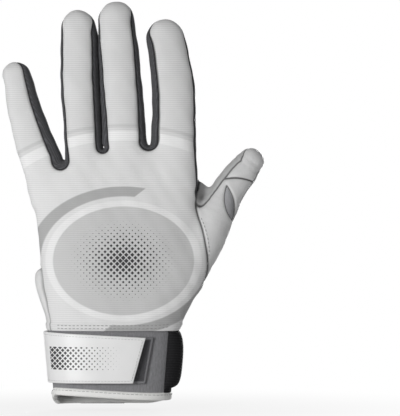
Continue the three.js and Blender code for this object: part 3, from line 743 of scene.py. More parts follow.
def finger_reach(points):
    """Distance past the line where the fingers leave the hand."""
    column = nearest_finger(points)
    reach = np.full(len(points), -1.0)
    for i, finger in enumerate(fingers):
        mine = (column == i) & (points[:, 0] < THUMB_SEAM[0][0])
        reach[mine] = finger.place(points[mine])[1] - FINGER_START
    return reach


def linear(code):
    """Linear colour of a hex colour code."""
    parts = [int(code[i:i + 2], 16) / 255 for i in (0, 2, 4)]
    return [part / 12.92 if part <= 0.04045 else ((part + 0.055) / 1.055) ** 2.4 for part in parts] + [1.0]


# Seam distances over which the painted shade in the seam grooves fades out
PAINTED_SEAM_SHADE_RAMP = (0.15, 0.95)
# Colour sockets of a mix node
MIX_A = 6
MIX_B = 7
MIX_RESULT = 2


def put(tree, socket, value):
    if isinstance(value, bpy.types.NodeSocket):
        tree.links.new(value, socket)
    else:
        socket.default_value = value


def add_node(tree, kind, inputs=None, **settings):
    """A shader node with its settings and with a value or a link for each given input."""
    made = tree.nodes.new(kind)
    for setting, value in settings.items():
        setattr(made, setting, value)
    for key, value in (inputs or {}).items():
        put(tree, made.inputs[key], value)
    return made


class Finish:
    """A procedural material that follows the rest position of each point, in millimetres."""

    def __init__(self, name, roughness, **sockets):
        self.material = bpy.data.materials.new(name)
        self.material.use_nodes = True
        self.tree = self.material.node_tree
        self.shader = self.tree.nodes["Principled BSDF"]
        self.shader.inputs["Roughness"].default_value = roughness
        for socket, value in sockets.items():
            self.shader.inputs[socket.replace("_", " ")].default_value = value
        rest = self.node("ShaderNodeAttribute", attribute_name="rest")
        self.rest = rest.outputs["Vector"]
        parts = self.node("ShaderNodeSeparateXYZ", {"Vector": self.rest})
        self.x, self.y, self.z = (parts.outputs[axis] for axis in "XYZ")
        self.seam = self.node("ShaderNodeAttribute", attribute_name="seam").outputs["Fac"]
        self.height = None

    def node(self, kind, inputs=None, **settings):
        return add_node(self.tree, kind, inputs, **settings)

    def math(self, operation, *values, clamp=False):
        inputs = dict(enumerate(values))
        return self.node("ShaderNodeMath", inputs, operation=operation, use_clamp=clamp).outputs[0]

    def mix(self, share, a, b, blend="MIX"):
        made = self.node("ShaderNodeMix", {"Factor": share}, data_type="RGBA", blend_type=blend)
        put(self.tree, made.inputs[MIX_A], a)
        put(self.tree, made.inputs[MIX_B], b)
        return made.outputs[MIX_RESULT]

    def noise(self, size, detail=2.0, stretch=None, roughness=0.5):
        vector = self.rest
        if stretch:
            scaled = self.node("ShaderNodeVectorMath", {0: self.rest, 1: stretch}, operation="MULTIPLY")
            vector = scaled.outputs[0]
        inputs = {"Vector": vector, "Scale": 1 / size, "Detail": detail, "Roughness": roughness}
        return self.node("ShaderNodeTexNoise", inputs).outputs["Fac"]

    def cells(self, size, feature="F1"):
        inputs = {"Vector": self.rest, "Scale": 1 / size}
        return self.node("ShaderNodeTexVoronoi", inputs, feature=feature).outputs["Distance"]

    def wave(self, coordinate, period):
        """A wave between 0 and 1 along a coordinate."""
        turn = self.math("MULTIPLY", coordinate, 2 * math.pi / period)
        return self.math("MULTIPLY_ADD", self.math("SINE", turn), 0.5, 0.5)

    def ramp(self, value, low, high):
        inputs = {"Value": value, "From Min": low, "From Max": high}
        return self.node("ShaderNodeMapRange", inputs, interpolation_type="SMOOTHSTEP").outputs["Result"]

    def color(self, value, seam_shade=None):
        """Sets the colour, with painted shade darkening the seam grooves when a seam shade colour is given."""
        if seam_shade:
            value = self.mix(self.ramp(self.seam, *PAINTED_SEAM_SHADE_RAMP), linear(seam_shade), value)
        put(self.tree, self.shader.inputs["Base Color"], value)

    def roughness(self, value):
        put(self.tree, self.shader.inputs["Roughness"], value)

    def bump(self, height, depth, strength=1.0):
        """Adds relief of a depth in millimetres."""
        inputs = {"Height": height, "Distance": depth * MM, "Strength": strength}
        made = self.node("ShaderNodeBump", inputs)
        if self.height:
            put(self.tree, made.inputs["Normal"], self.height)
        self.height = made.outputs["Normal"]
        put(self.tree, self.shader.inputs["Normal"], self.height)


DIAMOND_CONTRAST = 16.0
RING_SOFTNESS = 0.5


def diamonds(finish, x, z, pitch, size):
    """A lattice of diamonds, each filling a share of its cell."""
    gaps = []
    for sign in (1, -1):
        slant = finish.math("MULTIPLY_ADD", z, sign, x)
        cell = finish.math("FRACT", finish.math("MULTIPLY", slant, 1 / (pitch * math.sqrt(2))))
        gaps.append(finish.math("ABSOLUTE", finish.math("SUBTRACT", cell, 0.5)))
    inside = finish.math("SUBTRACT", finish.math("MULTIPLY", size, 0.5), finish.math("MAXIMUM", *gaps))
    return finish.math("MULTIPLY", inside, DIAMOND_CONTRAST, clamp=True)


def band(finish, value, low, high, soft=RING_SOFTNESS):
    rise = finish.ramp(value, low - soft, low + soft)
    fall = finish.ramp(value, high + soft, high - soft)
    return finish.math("MULTIPLY", rise, fall)


# Print on the back of the hand: tonal disks and rings, and a field of diamonds that shrink towards its edge
PRINT_CENTRE = (7.3, 85.0)
PRINT_STRETCH = 1.3
PRINT_DISKS = ((76.0, "e4e4e4"), (33.0, "cccccc"))
PRINT_RINGS = ((33.0, 36.5, "eeeeee"), (73.0, 79.0, "f0f0f0"), (81.0, 83.0, "cfcfcf"))
PRINT_ARCS = (39.0, 45.0, "b2b2b2")
ARC_GAP = (33.0, 34.0)
DIAMOND_REACH = 24.0
DIAMOND_PITCH = 2.6
DIAMOND_SIZE = 0.92
DIAMOND_SHRINKING = -0.78 / DIAMOND_REACH
DIAMOND_COLOR = "38383a"
KNIT_RIBS = 1.26
KNIT_WALES = 0.84


def knit_finish():
    """Ribbed knit with tonal rings and a field of small diamonds on the back of the hand."""
    finish = Finish("knit_back", roughness=0.85, Sheen_Weight=0.1, Sheen_Roughness=0.5)
    x = finish.math("SUBTRACT", finish.x, PRINT_CENTRE[0])
    z = finish.math("SUBTRACT", finish.z, PRINT_CENTRE[1])
    flat = finish.math("DIVIDE", x, PRINT_STRETCH)
    squares = [finish.math("POWER", distance, 2.0) for distance in (flat, z)]
    radius = finish.math("SQRT", finish.math("ADD", *squares))
    slant = finish.math("ABSOLUTE", finish.math("SUBTRACT", flat, z))
    tone = finish.mix(finish.noise(size=16.0, detail=3.0), linear("d6d6d6"), linear("e2e2e2"))
    for size, code in PRINT_DISKS:
        tone = finish.mix(finish.ramp(radius, size + RING_SOFTNESS, size - RING_SOFTNESS), tone, linear(code))
    for low, high, code in PRINT_RINGS:
        tone = finish.mix(band(finish, radius, low, high), tone, linear(code))
    low, high, code = PRINT_ARCS
    arcs = finish.math("MULTIPLY", band(finish, radius, low, high), finish.ramp(slant, *ARC_GAP))
    tone = finish.mix(arcs, tone, linear(code))
    size = finish.math("MULTIPLY_ADD", radius, DIAMOND_SHRINKING, DIAMOND_SIZE)
    tone = finish.mix(diamonds(finish, x, z, DIAMOND_PITCH, size), tone, linear(DIAMOND_COLOR))
    ribs = finish.wave(finish.z, KNIT_RIBS)
    wales = finish.wave(finish.x, KNIT_WALES)
    yarn = finish.math("MULTIPLY_ADD", wales, 0.25, finish.math("MULTIPLY", ribs, 0.75))
    # Painted shade: the knit is darker in the valleys between its ribs and wales
    shade = finish.mix(yarn, linear("eeeeee"), linear("ffffff"))
    tone = finish.mix(1.0, tone, shade, blend="MULTIPLY")
    # Painted shade: the knit is darker in its seam grooves
    finish.color(tone, seam_shade="6a6a6a")
    finish.bump(yarn, depth=0.12, strength=0.45)
    return finish.material


def leather_finish(name, dark, light, seam_shade):
    """Soft leather with a fine grain, a few creases and painted shade in its seam grooves."""
    finish = Finish(name, roughness=0.5)
    grain = finish.ramp(finish.cells(size=0.75, feature="DISTANCE_TO_EDGE"), 0.0, 0.3)
    creases = finish.noise(size=7.0, detail=6.0, roughness=0.65)
    # Painted shade: darker in the seam grooves
    finish.color(finish.mix(finish.noise(size=18.0, detail=4.0), linear(dark), linear(light)), seam_shade)
    finish.roughness(finish.math("MULTIPLY_ADD", grain, -0.12, 0.6))
    finish.bump(grain, depth=0.07, strength=0.7)
    finish.bump(creases, depth=0.8, strength=0.4)
    return finish.material


def strip_finish():
    """Dark woven stretch cloth."""
    finish = Finish("side_strip", roughness=0.85, Sheen_Weight=0.1, Specular_IOR_Level=0.2)
    weave = finish.math("MULTIPLY", finish.wave(finish.z, period=0.8), finish.wave(finish.y, period=0.8))
    # Painted shade: the strip is darker still in its seam grooves
    finish.color(finish.mix(weave, linear("444446"), linear("66666a")), seam_shade="1c1c1e")
    finish.bump(weave, depth=0.1, strength=0.6)
    return finish.material


def neoprene_finish():
    """Grey heather cloth over foam, with fine upright ribs."""
    finish = Finish("neoprene_cuff", roughness=0.9, Sheen_Weight=0.25)
    heather = finish.noise(size=0.8, detail=3.0, stretch=(1.0, 1.0, 0.4))
    ribs = finish.wave(finish.x, period=0.9)
    tone = finish.math("MULTIPLY_ADD", ribs, 0.3, finish.math("MULTIPLY", heather, 0.8))
    finish.color(finish.mix(tone, linear("5e5e60"), linear("949497")))
    finish.bump(tone, depth=0.16, strength=0.6)
    return finish.material


def gusset_finish():
    """Black ribbed stretch cloth."""
    finish = Finish("stretch_gusset", roughness=0.8, Specular_IOR_Level=0.15)
    ribs = finish.wave(finish.z, period=1.0)
    finish.color(finish.mix(ribs, linear("141415"), linear("2a2a2c")))
    finish.bump(ribs, depth=0.2, strength=0.8)
    return finish.material


def woven_finish(name, dark, light, roughness, gloss=0.4):
    """Tightly woven tape."""
    finish = Finish(name, roughness, Specular_IOR_Level=gloss)
    warp = finish.wave(finish.math("ADD", finish.x, finish.y), period=0.7)
    weft = finish.wave(finish.z, period=0.7)
    weave = finish.math("ABSOLUTE", finish.math("SUBTRACT", warp, weft))
    finish.color(finish.mix(weave, linear(dark), linear(light)))
    finish.bump(weave, depth=0.08, strength=0.6)
    return finish.material


PILE_RIM_HIGHLIGHT = (1.1, 1.9)


def pile_finish():
    """Looped pile with a flat sealed rim, painted lighter along the edge as a highlight."""
    finish = Finish("hook_and_loop", roughness=1.0, Sheen_Weight=0.15, Specular_IOR_Level=0.1)
    pile = finish.noise(size=0.6, detail=4.0, roughness=0.7)
    field = finish.mix(pile, linear("343436"), linear("606063"))
    # Painted highlight: the sealed rim is a lighter copy of the pile
    rim = finish.mix(pile, linear("6c6c6f"), linear("98989b"))
    finish.color(finish.mix(finish.ramp(finish.seam, *PILE_RIM_HIGHLIGHT), rim, field))
    finish.bump(pile, depth=0.5, strength=0.9)
    return finish.material


# Print on the strap: its rows, where the back of the strap starts, and diamonds that shrink along it
STRAP_ROWS = (19.2, 33.0)
STRAP_FRONT = (-12.0, -12.5)
STRAP_DIAMOND_PITCH = 2.3
STRAP_DIAMOND_SIZE = 0.21
STRAP_DIAMOND_SHRINKING = -0.0185


def strap_finish():
    """Smooth coated strap with a fading row of small dark diamonds."""
    finish = Finish("strap_white", roughness=0.42)
    size = finish.math("MULTIPLY_ADD", finish.x, STRAP_DIAMOND_SHRINKING, STRAP_DIAMOND_SIZE)
    front = finish.ramp(finish.y, *STRAP_FRONT)
    rows = finish.math("MULTIPLY", band(finish, finish.z, *STRAP_ROWS, soft=0.1), front)
    height = finish.math("SUBTRACT", finish.z, sum(STRAP_ROWS) / 2)
    marks = finish.math("MULTIPLY", diamonds(finish, finish.x, height, STRAP_DIAMOND_PITCH, size), rows)
    tone = finish.mix(finish.noise(size=12.0, detail=3.0), linear("e4e4e4"), linear("ededed"))
    finish.color(finish.mix(marks, tone, linear(DIAMOND_COLOR)))
    finish.bump(finish.cells(size=0.6), depth=0.05, strength=0.4)
    return finish.material


THREAD_SHADE = 0.72


def thread_finish(name, code):
    """Twisted thread."""
    finish = Finish(name, roughness=0.55)
    sloped = finish.math("ADD", finish.math("ADD", finish.x, finish.z), finish.y)
    twist = finish.wave(sloped, period=0.45)
    # Painted shade: a darker copy of the thread's colour lies in the grooves of its twist
    shade = [THREAD_SHADE * part for part in linear(code)[:3]] + [1.0]
    finish.color(finish.mix(twist, shade, linear(code)))
    finish.bump(twist, depth=0.05, strength=0.5)
    return finish.material


FINISHES = {
    "knit_back": knit_finish(),
    "palm_leather": leather_finish("palm_leather", "d0d0d0", "dcdcdc", "a4a4a4"),
    # The pads' leather is a darker copy of the palm's: painted shade on the pads
    "pad_leather": leather_finish("pad_leather", "bfbfbf", "cacaca", "989898"),
    # Grey trim leather, darker partly as painted shade where the thumb's sides and web lie in shadow
    "trim_leather": leather_finish("trim_leather", "b0b0b0", "bebebe", "6c6c6c"),
    "thumb_leather": leather_finish("thumb_leather", "cecece", "dadada", "5a5a5a"),
    "side_strip": strip_finish(),
    "neoprene_cuff": neoprene_finish(),
    "stretch_gusset": gusset_finish(),
    "edge_binding": woven_finish("edge_binding", "e2e2e0", "f6f6f4", roughness=0.75),
    "hook_and_loop": pile_finish(),
    "insert_cloth": woven_finish("insert_cloth", "929295", "b2b2b5", roughness=0.85),
    "strap_white": strap_finish(),
    "tab_webbing": woven_finish("tab_webbing", "0a0b0d", "17191d", roughness=0.6, gloss=0.12),
    "thread": thread_finish("thread", "9a9a9a"),
    "light_thread": thread_finish("light_thread", "cfcfcf"),
    "dark_thread": thread_finish("dark_thread", "26282b"),
    "green_thread": thread_finish("green_thread", "74dd52"),
}


def boundary_edges(faces):
    """Directed edges that only one face has."""
    edges = np.stack([faces, np.roll(faces, -1, axis=1)], axis=2)
    edges = edges.transpose(1, 0, 2).reshape(-1, 2)
    keys = np.sort(edges, axis=1)
    _, which, counts = np.unique(keys, axis=0, return_inverse=True, return_counts=True)
    return edges[counts[which.ravel()] == 1]


def add_mesh(name, points, faces, finish, sharp=None, second_finish=None, seam=None):
    """A mesh object from points in millimetres, smooth apart from its sharp edges."""
    mesh = bpy.data.meshes.new(name)
    mesh.from_pydata((points * MM).tolist(), [], faces.tolist())
    mesh.polygons.foreach_set("use_smooth", np.ones(len(faces), bool))
    rest = mesh.attributes.new("rest", "FLOAT_VECTOR", "POINT")
    rest.data.foreach_set("vector", points.astype(np.float32).ravel())
    # Distance from the nearest seam, which places the painted seam shade and the pile's painted rim highlight
    distance = mesh.attributes.new("seam", "FLOAT", "POINT")
    seam = np.full(len(points), FAR_FROM_SEAMS) if seam is None else np.clip(seam, 0.0, FAR_FROM_SEAMS)
    distance.data.foreach_set("value", seam.astype(np.float32))
    if sharp is not None:
        pairs = np.zeros(len(mesh.edges) * 2, int)
        mesh.edges.foreach_get("vertices", pairs)
        key = np.sort(pairs.reshape(-1, 2), axis=1) @ np.array([len(points), 1])
        wanted = np.sort(sharp, axis=1) @ np.array([len(points), 1])
        hard = mesh.attributes.new("sharp_edge", "BOOLEAN", "EDGE")
        hard.data.foreach_set("value", np.isin(key, wanted))
    mesh.materials.append(FINISHES[finish])
    if second_finish is not None:
        other, chosen = second_finish
        mesh.materials.append(FINISHES[other])
        mesh.polygons.foreach_set("material_index", chosen.astype(np.int32))
    mesh.validate()
    made = bpy.data.objects.new(name, mesh)
    bpy.context.scene.collection.objects.link(made)
    return made


def shell(patch, outer, inner):
    """A closed sheet between two lifts from a patch of the surface, with its sharp rim edges."""
    normals = surface_normals(patch.points)
    worn = undulation(patch.points)
    outer, inner = outer + worn, inner + worn
    count = len(patch.points)
    points = np.concatenate([patch.points + normals * np.broadcast_to(lift, count)[:, None]
                             for lift in (outer, inner)])
    rim = boundary_edges(patch.faces)
    a, b = rim.T
    walls = np.concatenate([np.stack([b, a, a + count], 1), np.stack([b, a + count, b + count], 1)])
    faces = np.concatenate([patch.faces, patch.faces[:, ::-1] + count, walls])
    return points, faces, np.concatenate([rim, rim + count])


UNDULATION = 0.28


def undulation(points):
    """Soft unevenness of worn cloth, the same on both sides of every seam."""
    x, y, z = points.T
    slow = np.sin(0.21 * x + 0.13 * z + 1.3) + np.sin(0.17 * z - 0.24 * x + 0.11 * y)
    quick = np.sin(0.43 * z + 0.19 * x + 0.6) * np.sin(0.37 * x - 0.08 * z + 0.2 * y)
    return UNDULATION * (0.5 * slow + 0.6 * quick)


# Creases across the fingers at each joint and across the long pads: places, depths and width
FOLD_CREASES = ((-2.4, 0.7), (1.6, 0.9), (5.0, 0.5))
TIP_JOINT = 0.55
PAD_CREASES = (0.34, 0.45, 0.56)
PAD_CREASE_DEPTH = 0.5
CREASE_WIDTH = 0.9
CREASE_END = 3.0
CREASE_SWELL = 0.7
# Creases of the palm: line, depth and width
PALM_CREASES = (
    (((24.0, 98.0), (33.0, 86.0), (37.0, 70.0), (34.0, 54.0)), 1.1, 2.6),
    (((-44.0, 120.0), (-28.0, 122.0), (-14.0, 129.0)), 0.8, 1.8),
    (((-36.0, 100.0), (-18.0, 94.0), (4.0, 92.0)), 0.5, 2.4),
    (((46.0, 112.0), (52.0, 104.0), (54.0, 94.0)), 0.8, 1.6),
    (((50.0, 92.0), (42.0, 96.0), (36.0, 103.0)), 0.6, 1.5),
    (((52.0, 84.0), (44.0, 86.0), (37.0, 91.0)), 0.6, 1.5),
)
PALM_CREASE_END = 4.0
# Wrinkles at the palm's outer edge: where they fade in from the side, from below and from above
WRINKLE_SIDE = (-34.0, -42.0)
WRINKLE_BOTTOM = (88.0, 96.0)
WRINKLE_TOP = (128.0, 120.0)
WRINKLE_DEPTH = 0.65
WRINKLE_SLANT = 0.15
WRINKLE_PITCH = 5.2


def valley(distance, depth, width):
    """A soft groove with a slight swell on both sides."""
    share = (distance / width) ** 2
    return depth * (CREASE_SWELL * share - 1.0) * np.exp(-share)


def finger_creases(finger, points):
    """Folds of the palm side of a finger at its joints."""
    _, along, _ = finger.place(points)
    inland = smoothstep(0.0, CREASE_END, finger.palm_gap(points))
    joints = (finger.middle, lerp(finger.middle, finger.length, TIP_JOINT))
    folds = [valley(along - joint - offset, depth, CREASE_WIDTH)
             for joint in joints for offset, depth in FOLD_CREASES]
    return inland * sum(folds)


def pad_creases(finger, pad, points):
    """Shallow folds across a long pad."""
    _, along, _ = finger.place(points)
    places = [lerp(pad["start"], pad["end"], share) for share in PAD_CREASES]
    folds = [valley(along - place, PAD_CREASE_DEPTH, CREASE_WIDTH) for place in places]
    return smoothstep(0.5, CREASE_END, finger_pad_gap(finger, pad)(points)) * sum(folds)


def palm_creases(points):
    """Soft folds of the palm, and short wrinkles at its outer edge."""
    x, _, z = points.T
    lift = sum(valley(line_distance(x, z, line), depth, width) for line, depth, width in PALM_CREASES)
    edge = smoothstep(*WRINKLE_SIDE, x) * smoothstep(*WRINKLE_BOTTOM, z) * smoothstep(*WRINKLE_TOP, z)
    wrinkles = WRINKLE_DEPTH * edge * np.sin(2 * math.pi * (z + WRINKLE_SLANT * x) / WRINKLE_PITCH)
    return (lift + wrinkles) * smoothstep(0.0, PALM_CREASE_END, hand_palm_gap(points))


def seam_lift(seam):
    """How a panel swells beside a seam and tucks into it."""
    swell = PANEL_SWELL * (1 - np.exp(-np.maximum(seam, 0.0) / SWELL_REACH))
    return swell - SEAM_TUCK * np.exp(-(seam / SEAM_WIDTH) ** 2)


def strip_lift(seam):
    sink = STRIP_SINK * (1 - np.exp(-np.maximum(seam, 0.0) / SEAM_WIDTH))
    return -sink - SEAM_TUCK * np.exp(-(seam / SEAM_WIDTH) ** 2)


def strip_bulge(finger, patch, seam):
    """Strips between close fingers bulge into the gap, one nearer to the back and one nearer to the palm."""
    if finger.name not in STRIP_BULGES:
        return 0.0
    outwards, size, depth = STRIP_BULGES[finger.name]
    across, along, dorsal = finger.place(patch.points)
    here = (across * outwards > 0) * smoothstep(0.0, BULGE_START, along - FINGER_START)
    before_tip = smoothstep(finger.length, finger.tip_start - BULGE_END, along)
    inland = smoothstep(0.0, BULGE_EDGE, seam) * before_tip
    return size * here * inland * np.exp(-((dorsal - depth) / BULGE_HALF) ** 2)


def pad_lift(gap, crown, shoulder):
    """A cushion that rises from its seam to a flat crown."""
    share = 1 - np.clip(gap / shoulder, 0.0, 1.0)
    return crown * (1 - share ** PAD_ROUNDNESS) - SEAM_TUCK * np.exp(-(gap / SEAM_WIDTH) ** 2)


# Motion of the pieces, each given to a piece once its mesh is final
BEND_LENGTH = 10.0


def ride_hand(piece):
    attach(piece, "hand")


def bend_between(a, b, start, direction, length=BEND_LENGTH):
    """A move that only bakes a piece's transform into its mesh; the piece is not attached to a body and does
    not bend.
    """
    start = np.array(start)
    end = start + length * np.array(direction) / np.linalg.norm(direction)

    def move(piece):
        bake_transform(piece)

    return move


def digit_moves(finger):
    base = bend_between("hand", f"{finger.name}_base", finger.point(0, FINGER_START, 0), finger.along)
    middle = finger.point(0, finger.middle, 0)
    ahead = finger.point(0, finger.middle + 1, 0) - middle
    tip = bend_between(f"{finger.name}_base", f"{finger.name}_tip", middle, ahead)
    return base, tip


def add_shell(name, patch, seam, lift, wall, finish, second_finish=None):
    points, faces, sharp = shell(patch, lift, lift - wall)
    if second_finish is not None:
        other, chosen = second_finish
        walls = np.zeros(len(faces) - 2 * len(chosen), bool)
        second_finish = (other, np.concatenate([chosen, chosen, walls]))
    return add_mesh(f"{name}_look", points, faces, finish, sharp, second_finish, np.concatenate([seam, seam]))


def add_panel(name, patch, seam, lift, wall, finish, move, second_finish=None):
    """A panel in place of the node of the same name."""
    piece = add_shell(name, patch, seam, lift, wall, finish, second_finish)
    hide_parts(name)
    move(piece)
    return piece


def add_pad(name, patch, seam, lift, finish, move):
    """A cushion whose inner side stays level under its crown."""
    piece = add_panel(name, patch, seam, lift, lift + LEATHER_WALL, finish, move)


def strip_parts(part, side, outer_side):
    """The one strip around a tip, or the two strips beside a base, with their names."""
    if part == "tip":
        return [("strip", side)]
    return [("outer_strip", side.part(outer_side)), ("inner_strip", side.part(~outer_side))]


def sewn_panels(patch, back_gap, palm_gap):
    back, rest = divide(patch, back_gap)
    palm, side = divide(rest, palm_gap)
    return back, palm, side


def strip_seam(patch, back_gap, palm_gap):
    return np.minimum(-back_gap(patch.points), -palm_gap(patch.points))


# The sewn body of the glove, then its parts
LOW = (-72.0, -26.0, CUFF_TOP - 4.0)
HIGH = (100.0, 38.0, 254.0)
body = relax(surface_net(glove_field, LOW, HIGH, GRID_STEP), 2)
body = Patch(onto_surface(body.points, 2), body.faces)
body, _ = divide(body, lambda points: points[:, 2] - CUFF_TOP)
digits, hand = divide(body, finger_reach)
thumb_patch, hand = divide(hand, thumb.seam_gap)
heel, hand = divide(hand, heel_gap)

# Fingers
columns = nearest_finger(digits.centres())
for number, finger in enumerate(fingers):
    mine = digits.part(columns == number)
    tip, base = divide(mine, lambda points: finger.place(points)[1] - finger.middle)
    for part, patch, move in zip(("base", "tip"), (base, tip), digit_moves(finger)):
        back_gap = base_back_gap(finger) if part == "base" else finger.back_gap
        back, palm, side = sewn_panels(patch, back_gap, finger.palm_gap)
        label = f"{finger.name}_{part}"
        seam = back_gap(back.points)
        add_panel(f"{label}_back", back, seam, seam_lift(seam), KNIT_WALL, "knit_back", move)
        pads = {name: pad for name, pad in FINGER_PADS.items() if name.startswith(label)}
        for name, pad in pads.items():
            gap = finger_pad_gap(finger, pad)
            cushion, palm = divide(palm, gap)
            seam = gap(cushion.points)
            lift = pad_lift(seam, PAD_CROWN, PAD_SHOULDER) + pad_creases(finger, pad, cushion.points)
            add_pad(name, cushion, seam, lift, "pad_leather", move)
        seam = np.minimum.reduce([finger.palm_gap(palm.points)]
                                 + [-finger_pad_gap(finger, pad)(palm.points) for pad in pads.values()])
        lift = seam_lift(seam) + finger_creases(finger, palm.points)
        add_panel(f"{label}_palm", palm, seam, lift, LEATHER_WALL, "palm_leather", move)
        outer_side = finger.place(side.centres())[0] < 0
        white = finger.name == "little"
        for word, strip in strip_parts(part, side, outer_side):
            seam = strip_seam(strip, back_gap, finger.palm_gap)
            lift = strip_lift(seam) + strip_bulge(finger, strip, seam)
            finish = "palm_leather" if white and word == "outer_strip" else "side_strip"
            second = ("palm_leather", outer_side) if white and word == "strip" else None
            add_panel(f"{label}_{word}", strip, seam, lift, STRIP_WALL, finish, move, second)

# Hand: the folded lower edge of its panels, then the panels
FOLD_LIFT = 0.8
FOLD_EDGE = 0.4
FOLD_ROUNDING = 0.9
FOLD_STEP = (5.2, 3.8)


def hand_hem(points):
    """The folded lower edge of the hand panels, which stands on the cuff."""
    height = points[:, 2] - CUFF_TOP
    rounding = lerp(FOLD_EDGE, 1.0, smoothstep(0.0, FOLD_ROUNDING, height))
    return FOLD_LIFT * rounding * smoothstep(*FOLD_STEP, height)


def nearest_seam(points, *gaps):
    return np.minimum.reduce([np.abs(gap(points)) for gap in gaps])


back, palm, side = sewn_panels(hand, hand_back_gap, hand_palm_gap)
palm_cushion, palm = divide(palm, palm_pad_gap)
seam = nearest_seam(back.points, hand_back_gap, thumb.seam_gap, heel_gap)
lift = seam_lift(seam) + hand_hem(back.points)
add_panel("hand_back", back, seam, lift, KNIT_WALL, "knit_back", ride_hand)
seam = nearest_seam(palm.points, hand_palm_gap, palm_pad_gap, heel_gap)
lift = seam_lift(seam) + hand_hem(palm.points) + palm_creases(palm.points)
add_panel("hand_palm", palm, seam, lift, LEATHER_WALL, "palm_leather", ride_hand)
seam = palm_pad_gap(palm_cushion.points)
lift = pad_lift(seam, PALM_PAD_CROWN, PAD_SHOULDER)
add_pad("palm_pad", palm_cushion, seam, lift, "pad_leather", ride_hand)
seam = heel_gap(heel.points)
lift = pad_lift(seam, HEEL_CROWN(heel.points[:, 2]), HEEL_SHOULDER) + hand_hem(heel.points)
add_pad("heel_pad", heel, seam, lift, "palm_leather", ride_hand)

# Sides of the hand: below the crotches each belongs to one edge of the hand, above to a gap between fingers
CROTCH_LIMIT = 128.0
side_places = side.centres()
base_places = [finger.base[0] for finger in fingers]
gap_number = np.searchsorted(base_places, side_places[:, 0])
edge_number = np.where(side_places[:, 0] < 0, 0, len(fingers))
gap_number = np.where(side_places[:, 2] < CROTCH_LIMIT, edge_number, gap_number)
upper = side_places[:, 2] > THUMB_LINE[1][0][2]
side_pieces = {
    "outer_side_panel": (gap_number == 0, "palm_leather"),
    "little_ring_crotch": (gap_number == 1, "side_strip"),
    "ring_middle_crotch": (gap_number == 2, "side_strip"),
    "middle_index_crotch": (gap_number == 3, "side_strip"),
    "thumb_web_strip": ((gap_number == len(fingers)) & upper, "trim_leather"),
    "thumb_side_panel": ((gap_number == len(fingers)) & ~upper, "trim_leather"),
}
FLANK_END = 142.6
FLANK_FROM_THUMB = 2.5
FLANK_FROM_FLAP = 0.6


def flank_gap(points):
    """Distance inside the dark strip that runs down from the index to the web of the thumb."""
    beside = np.maximum(THUMB_FLAP["depth"] - points[:, 1], points[:, 2] - FLANK_END)
    away = np.minimum(thumb.field(points) - FLANK_FROM_THUMB, flap_field(points) - FLANK_FROM_FLAP)
    return np.minimum(away, beside)


def hand_side_seam(patch, gaps):
    edge = strip_seam(patch, hand_back_gap, hand_palm_gap)
    return np.minimum(edge, nearest_seam(patch.points, *gaps))


for name, (chosen, finish) in side_pieces.items():
    strip = side.part(chosen)
    gaps = [thumb.seam_gap]
    if name == "thumb_web_strip":
        gaps.append(flank_gap)
        flank, strip = divide(strip, flank_gap)
        seam = hand_side_seam(flank, gaps)
        ride_hand(add_shell("index_flank", flank, seam, strip_lift(seam), STRIP_WALL, "side_strip"))
    seam = hand_side_seam(strip, gaps)
    lift = strip_lift(seam) + hand_hem(strip.points)
    add_panel(name, strip, seam, lift, STRIP_WALL, finish, ride_hand)

# Thumb: start and direction of its two bends, then its panels
THUMB_BENDS = (
    ((57.7, 4.0, 98.0), (1.0, 0.0, 0.07)),
    ((77.0, 9.0, 138.0), (-THUMB_CAP["slope"], 0.0, 1.0)),
)
thumb_moves = (
    bend_between("hand", "thumb_base", *THUMB_BENDS[0]),
    bend_between("thumb_base", "thumb_tip", *THUMB_BENDS[1]),
)
thumb_tip, thumb_base = divide(thumb_patch, thumb.cap_gap)
for part, patch, move in zip(("base", "tip"), (thumb_base, thumb_tip), thumb_moves):
    back, palm, side = sewn_panels(patch, thumb.back_gap, thumb.palm_gap)
    label = f"thumb_{part}"
    insert, back = divide(back, thumb.lens_gap)
    if len(insert.faces):
        seam = thumb.lens_gap(insert.points)
        move(add_shell("thumb_insert", insert, seam, strip_lift(seam), STRIP_WALL, "insert_cloth"))
    seam = nearest_seam(back.points, thumb.back_gap, thumb.seam_gap, thumb.cap_gap, thumb.lens_gap)
    add_panel(f"{label}_back", back, seam, seam_lift(seam), LEATHER_WALL, "thumb_leather", move)
    seam = thumb.palm_gap(palm.points)
    add_panel(f"{label}_palm", palm, seam, seam_lift(seam), LEATHER_WALL, "palm_leather", move)
    for word, strip in strip_parts(part, side, thumb.side(side.centres()) < 0):
        seam = strip_seam(strip, thumb.back_gap, thumb.palm_gap)
        seam = np.minimum(seam, nearest_seam(strip.points, thumb.seam_gap))
        add_panel(f"{label}_{word}", strip, seam, strip_lift(seam), STRIP_WALL, "trim_leather", move)

# Stitches: short arched threads in rows along the seams
STITCH_RINGS = 5
STITCH_SIDES = 6
STITCH_LENGTH = 1.5
STITCH_GAP = 1.0
STITCH_RADIUS = 0.24
FINE_RADIUS = 0.2
LINE_STEP = 0.6
CORNER_POINTS = 9
ROUND_POINTS = 48
ROW_POINTS = 60
STITCH_END = 0.25


def stitch_ends(line, normals, closed, length, gap):
    """Both ends and the normal of each stitch along a line of points."""
    if closed:
        line = np.concatenate([line, line[:1]])
        normals = np.concatenate([normals, normals[:1]])
    places = run_lengths(line)
    count = max(1, round(places[-1] / (length + gap)))
    pitch = places[-1] / count
    share = length / (length + gap)
    starts = pitch * (np.arange(count) + (1 - share) / 2)
    ends = [along_line(starts + part * pitch, places, line) for part in (0.0, share)]
    return *ends, along_line(starts + share * pitch / 2, places, normals)


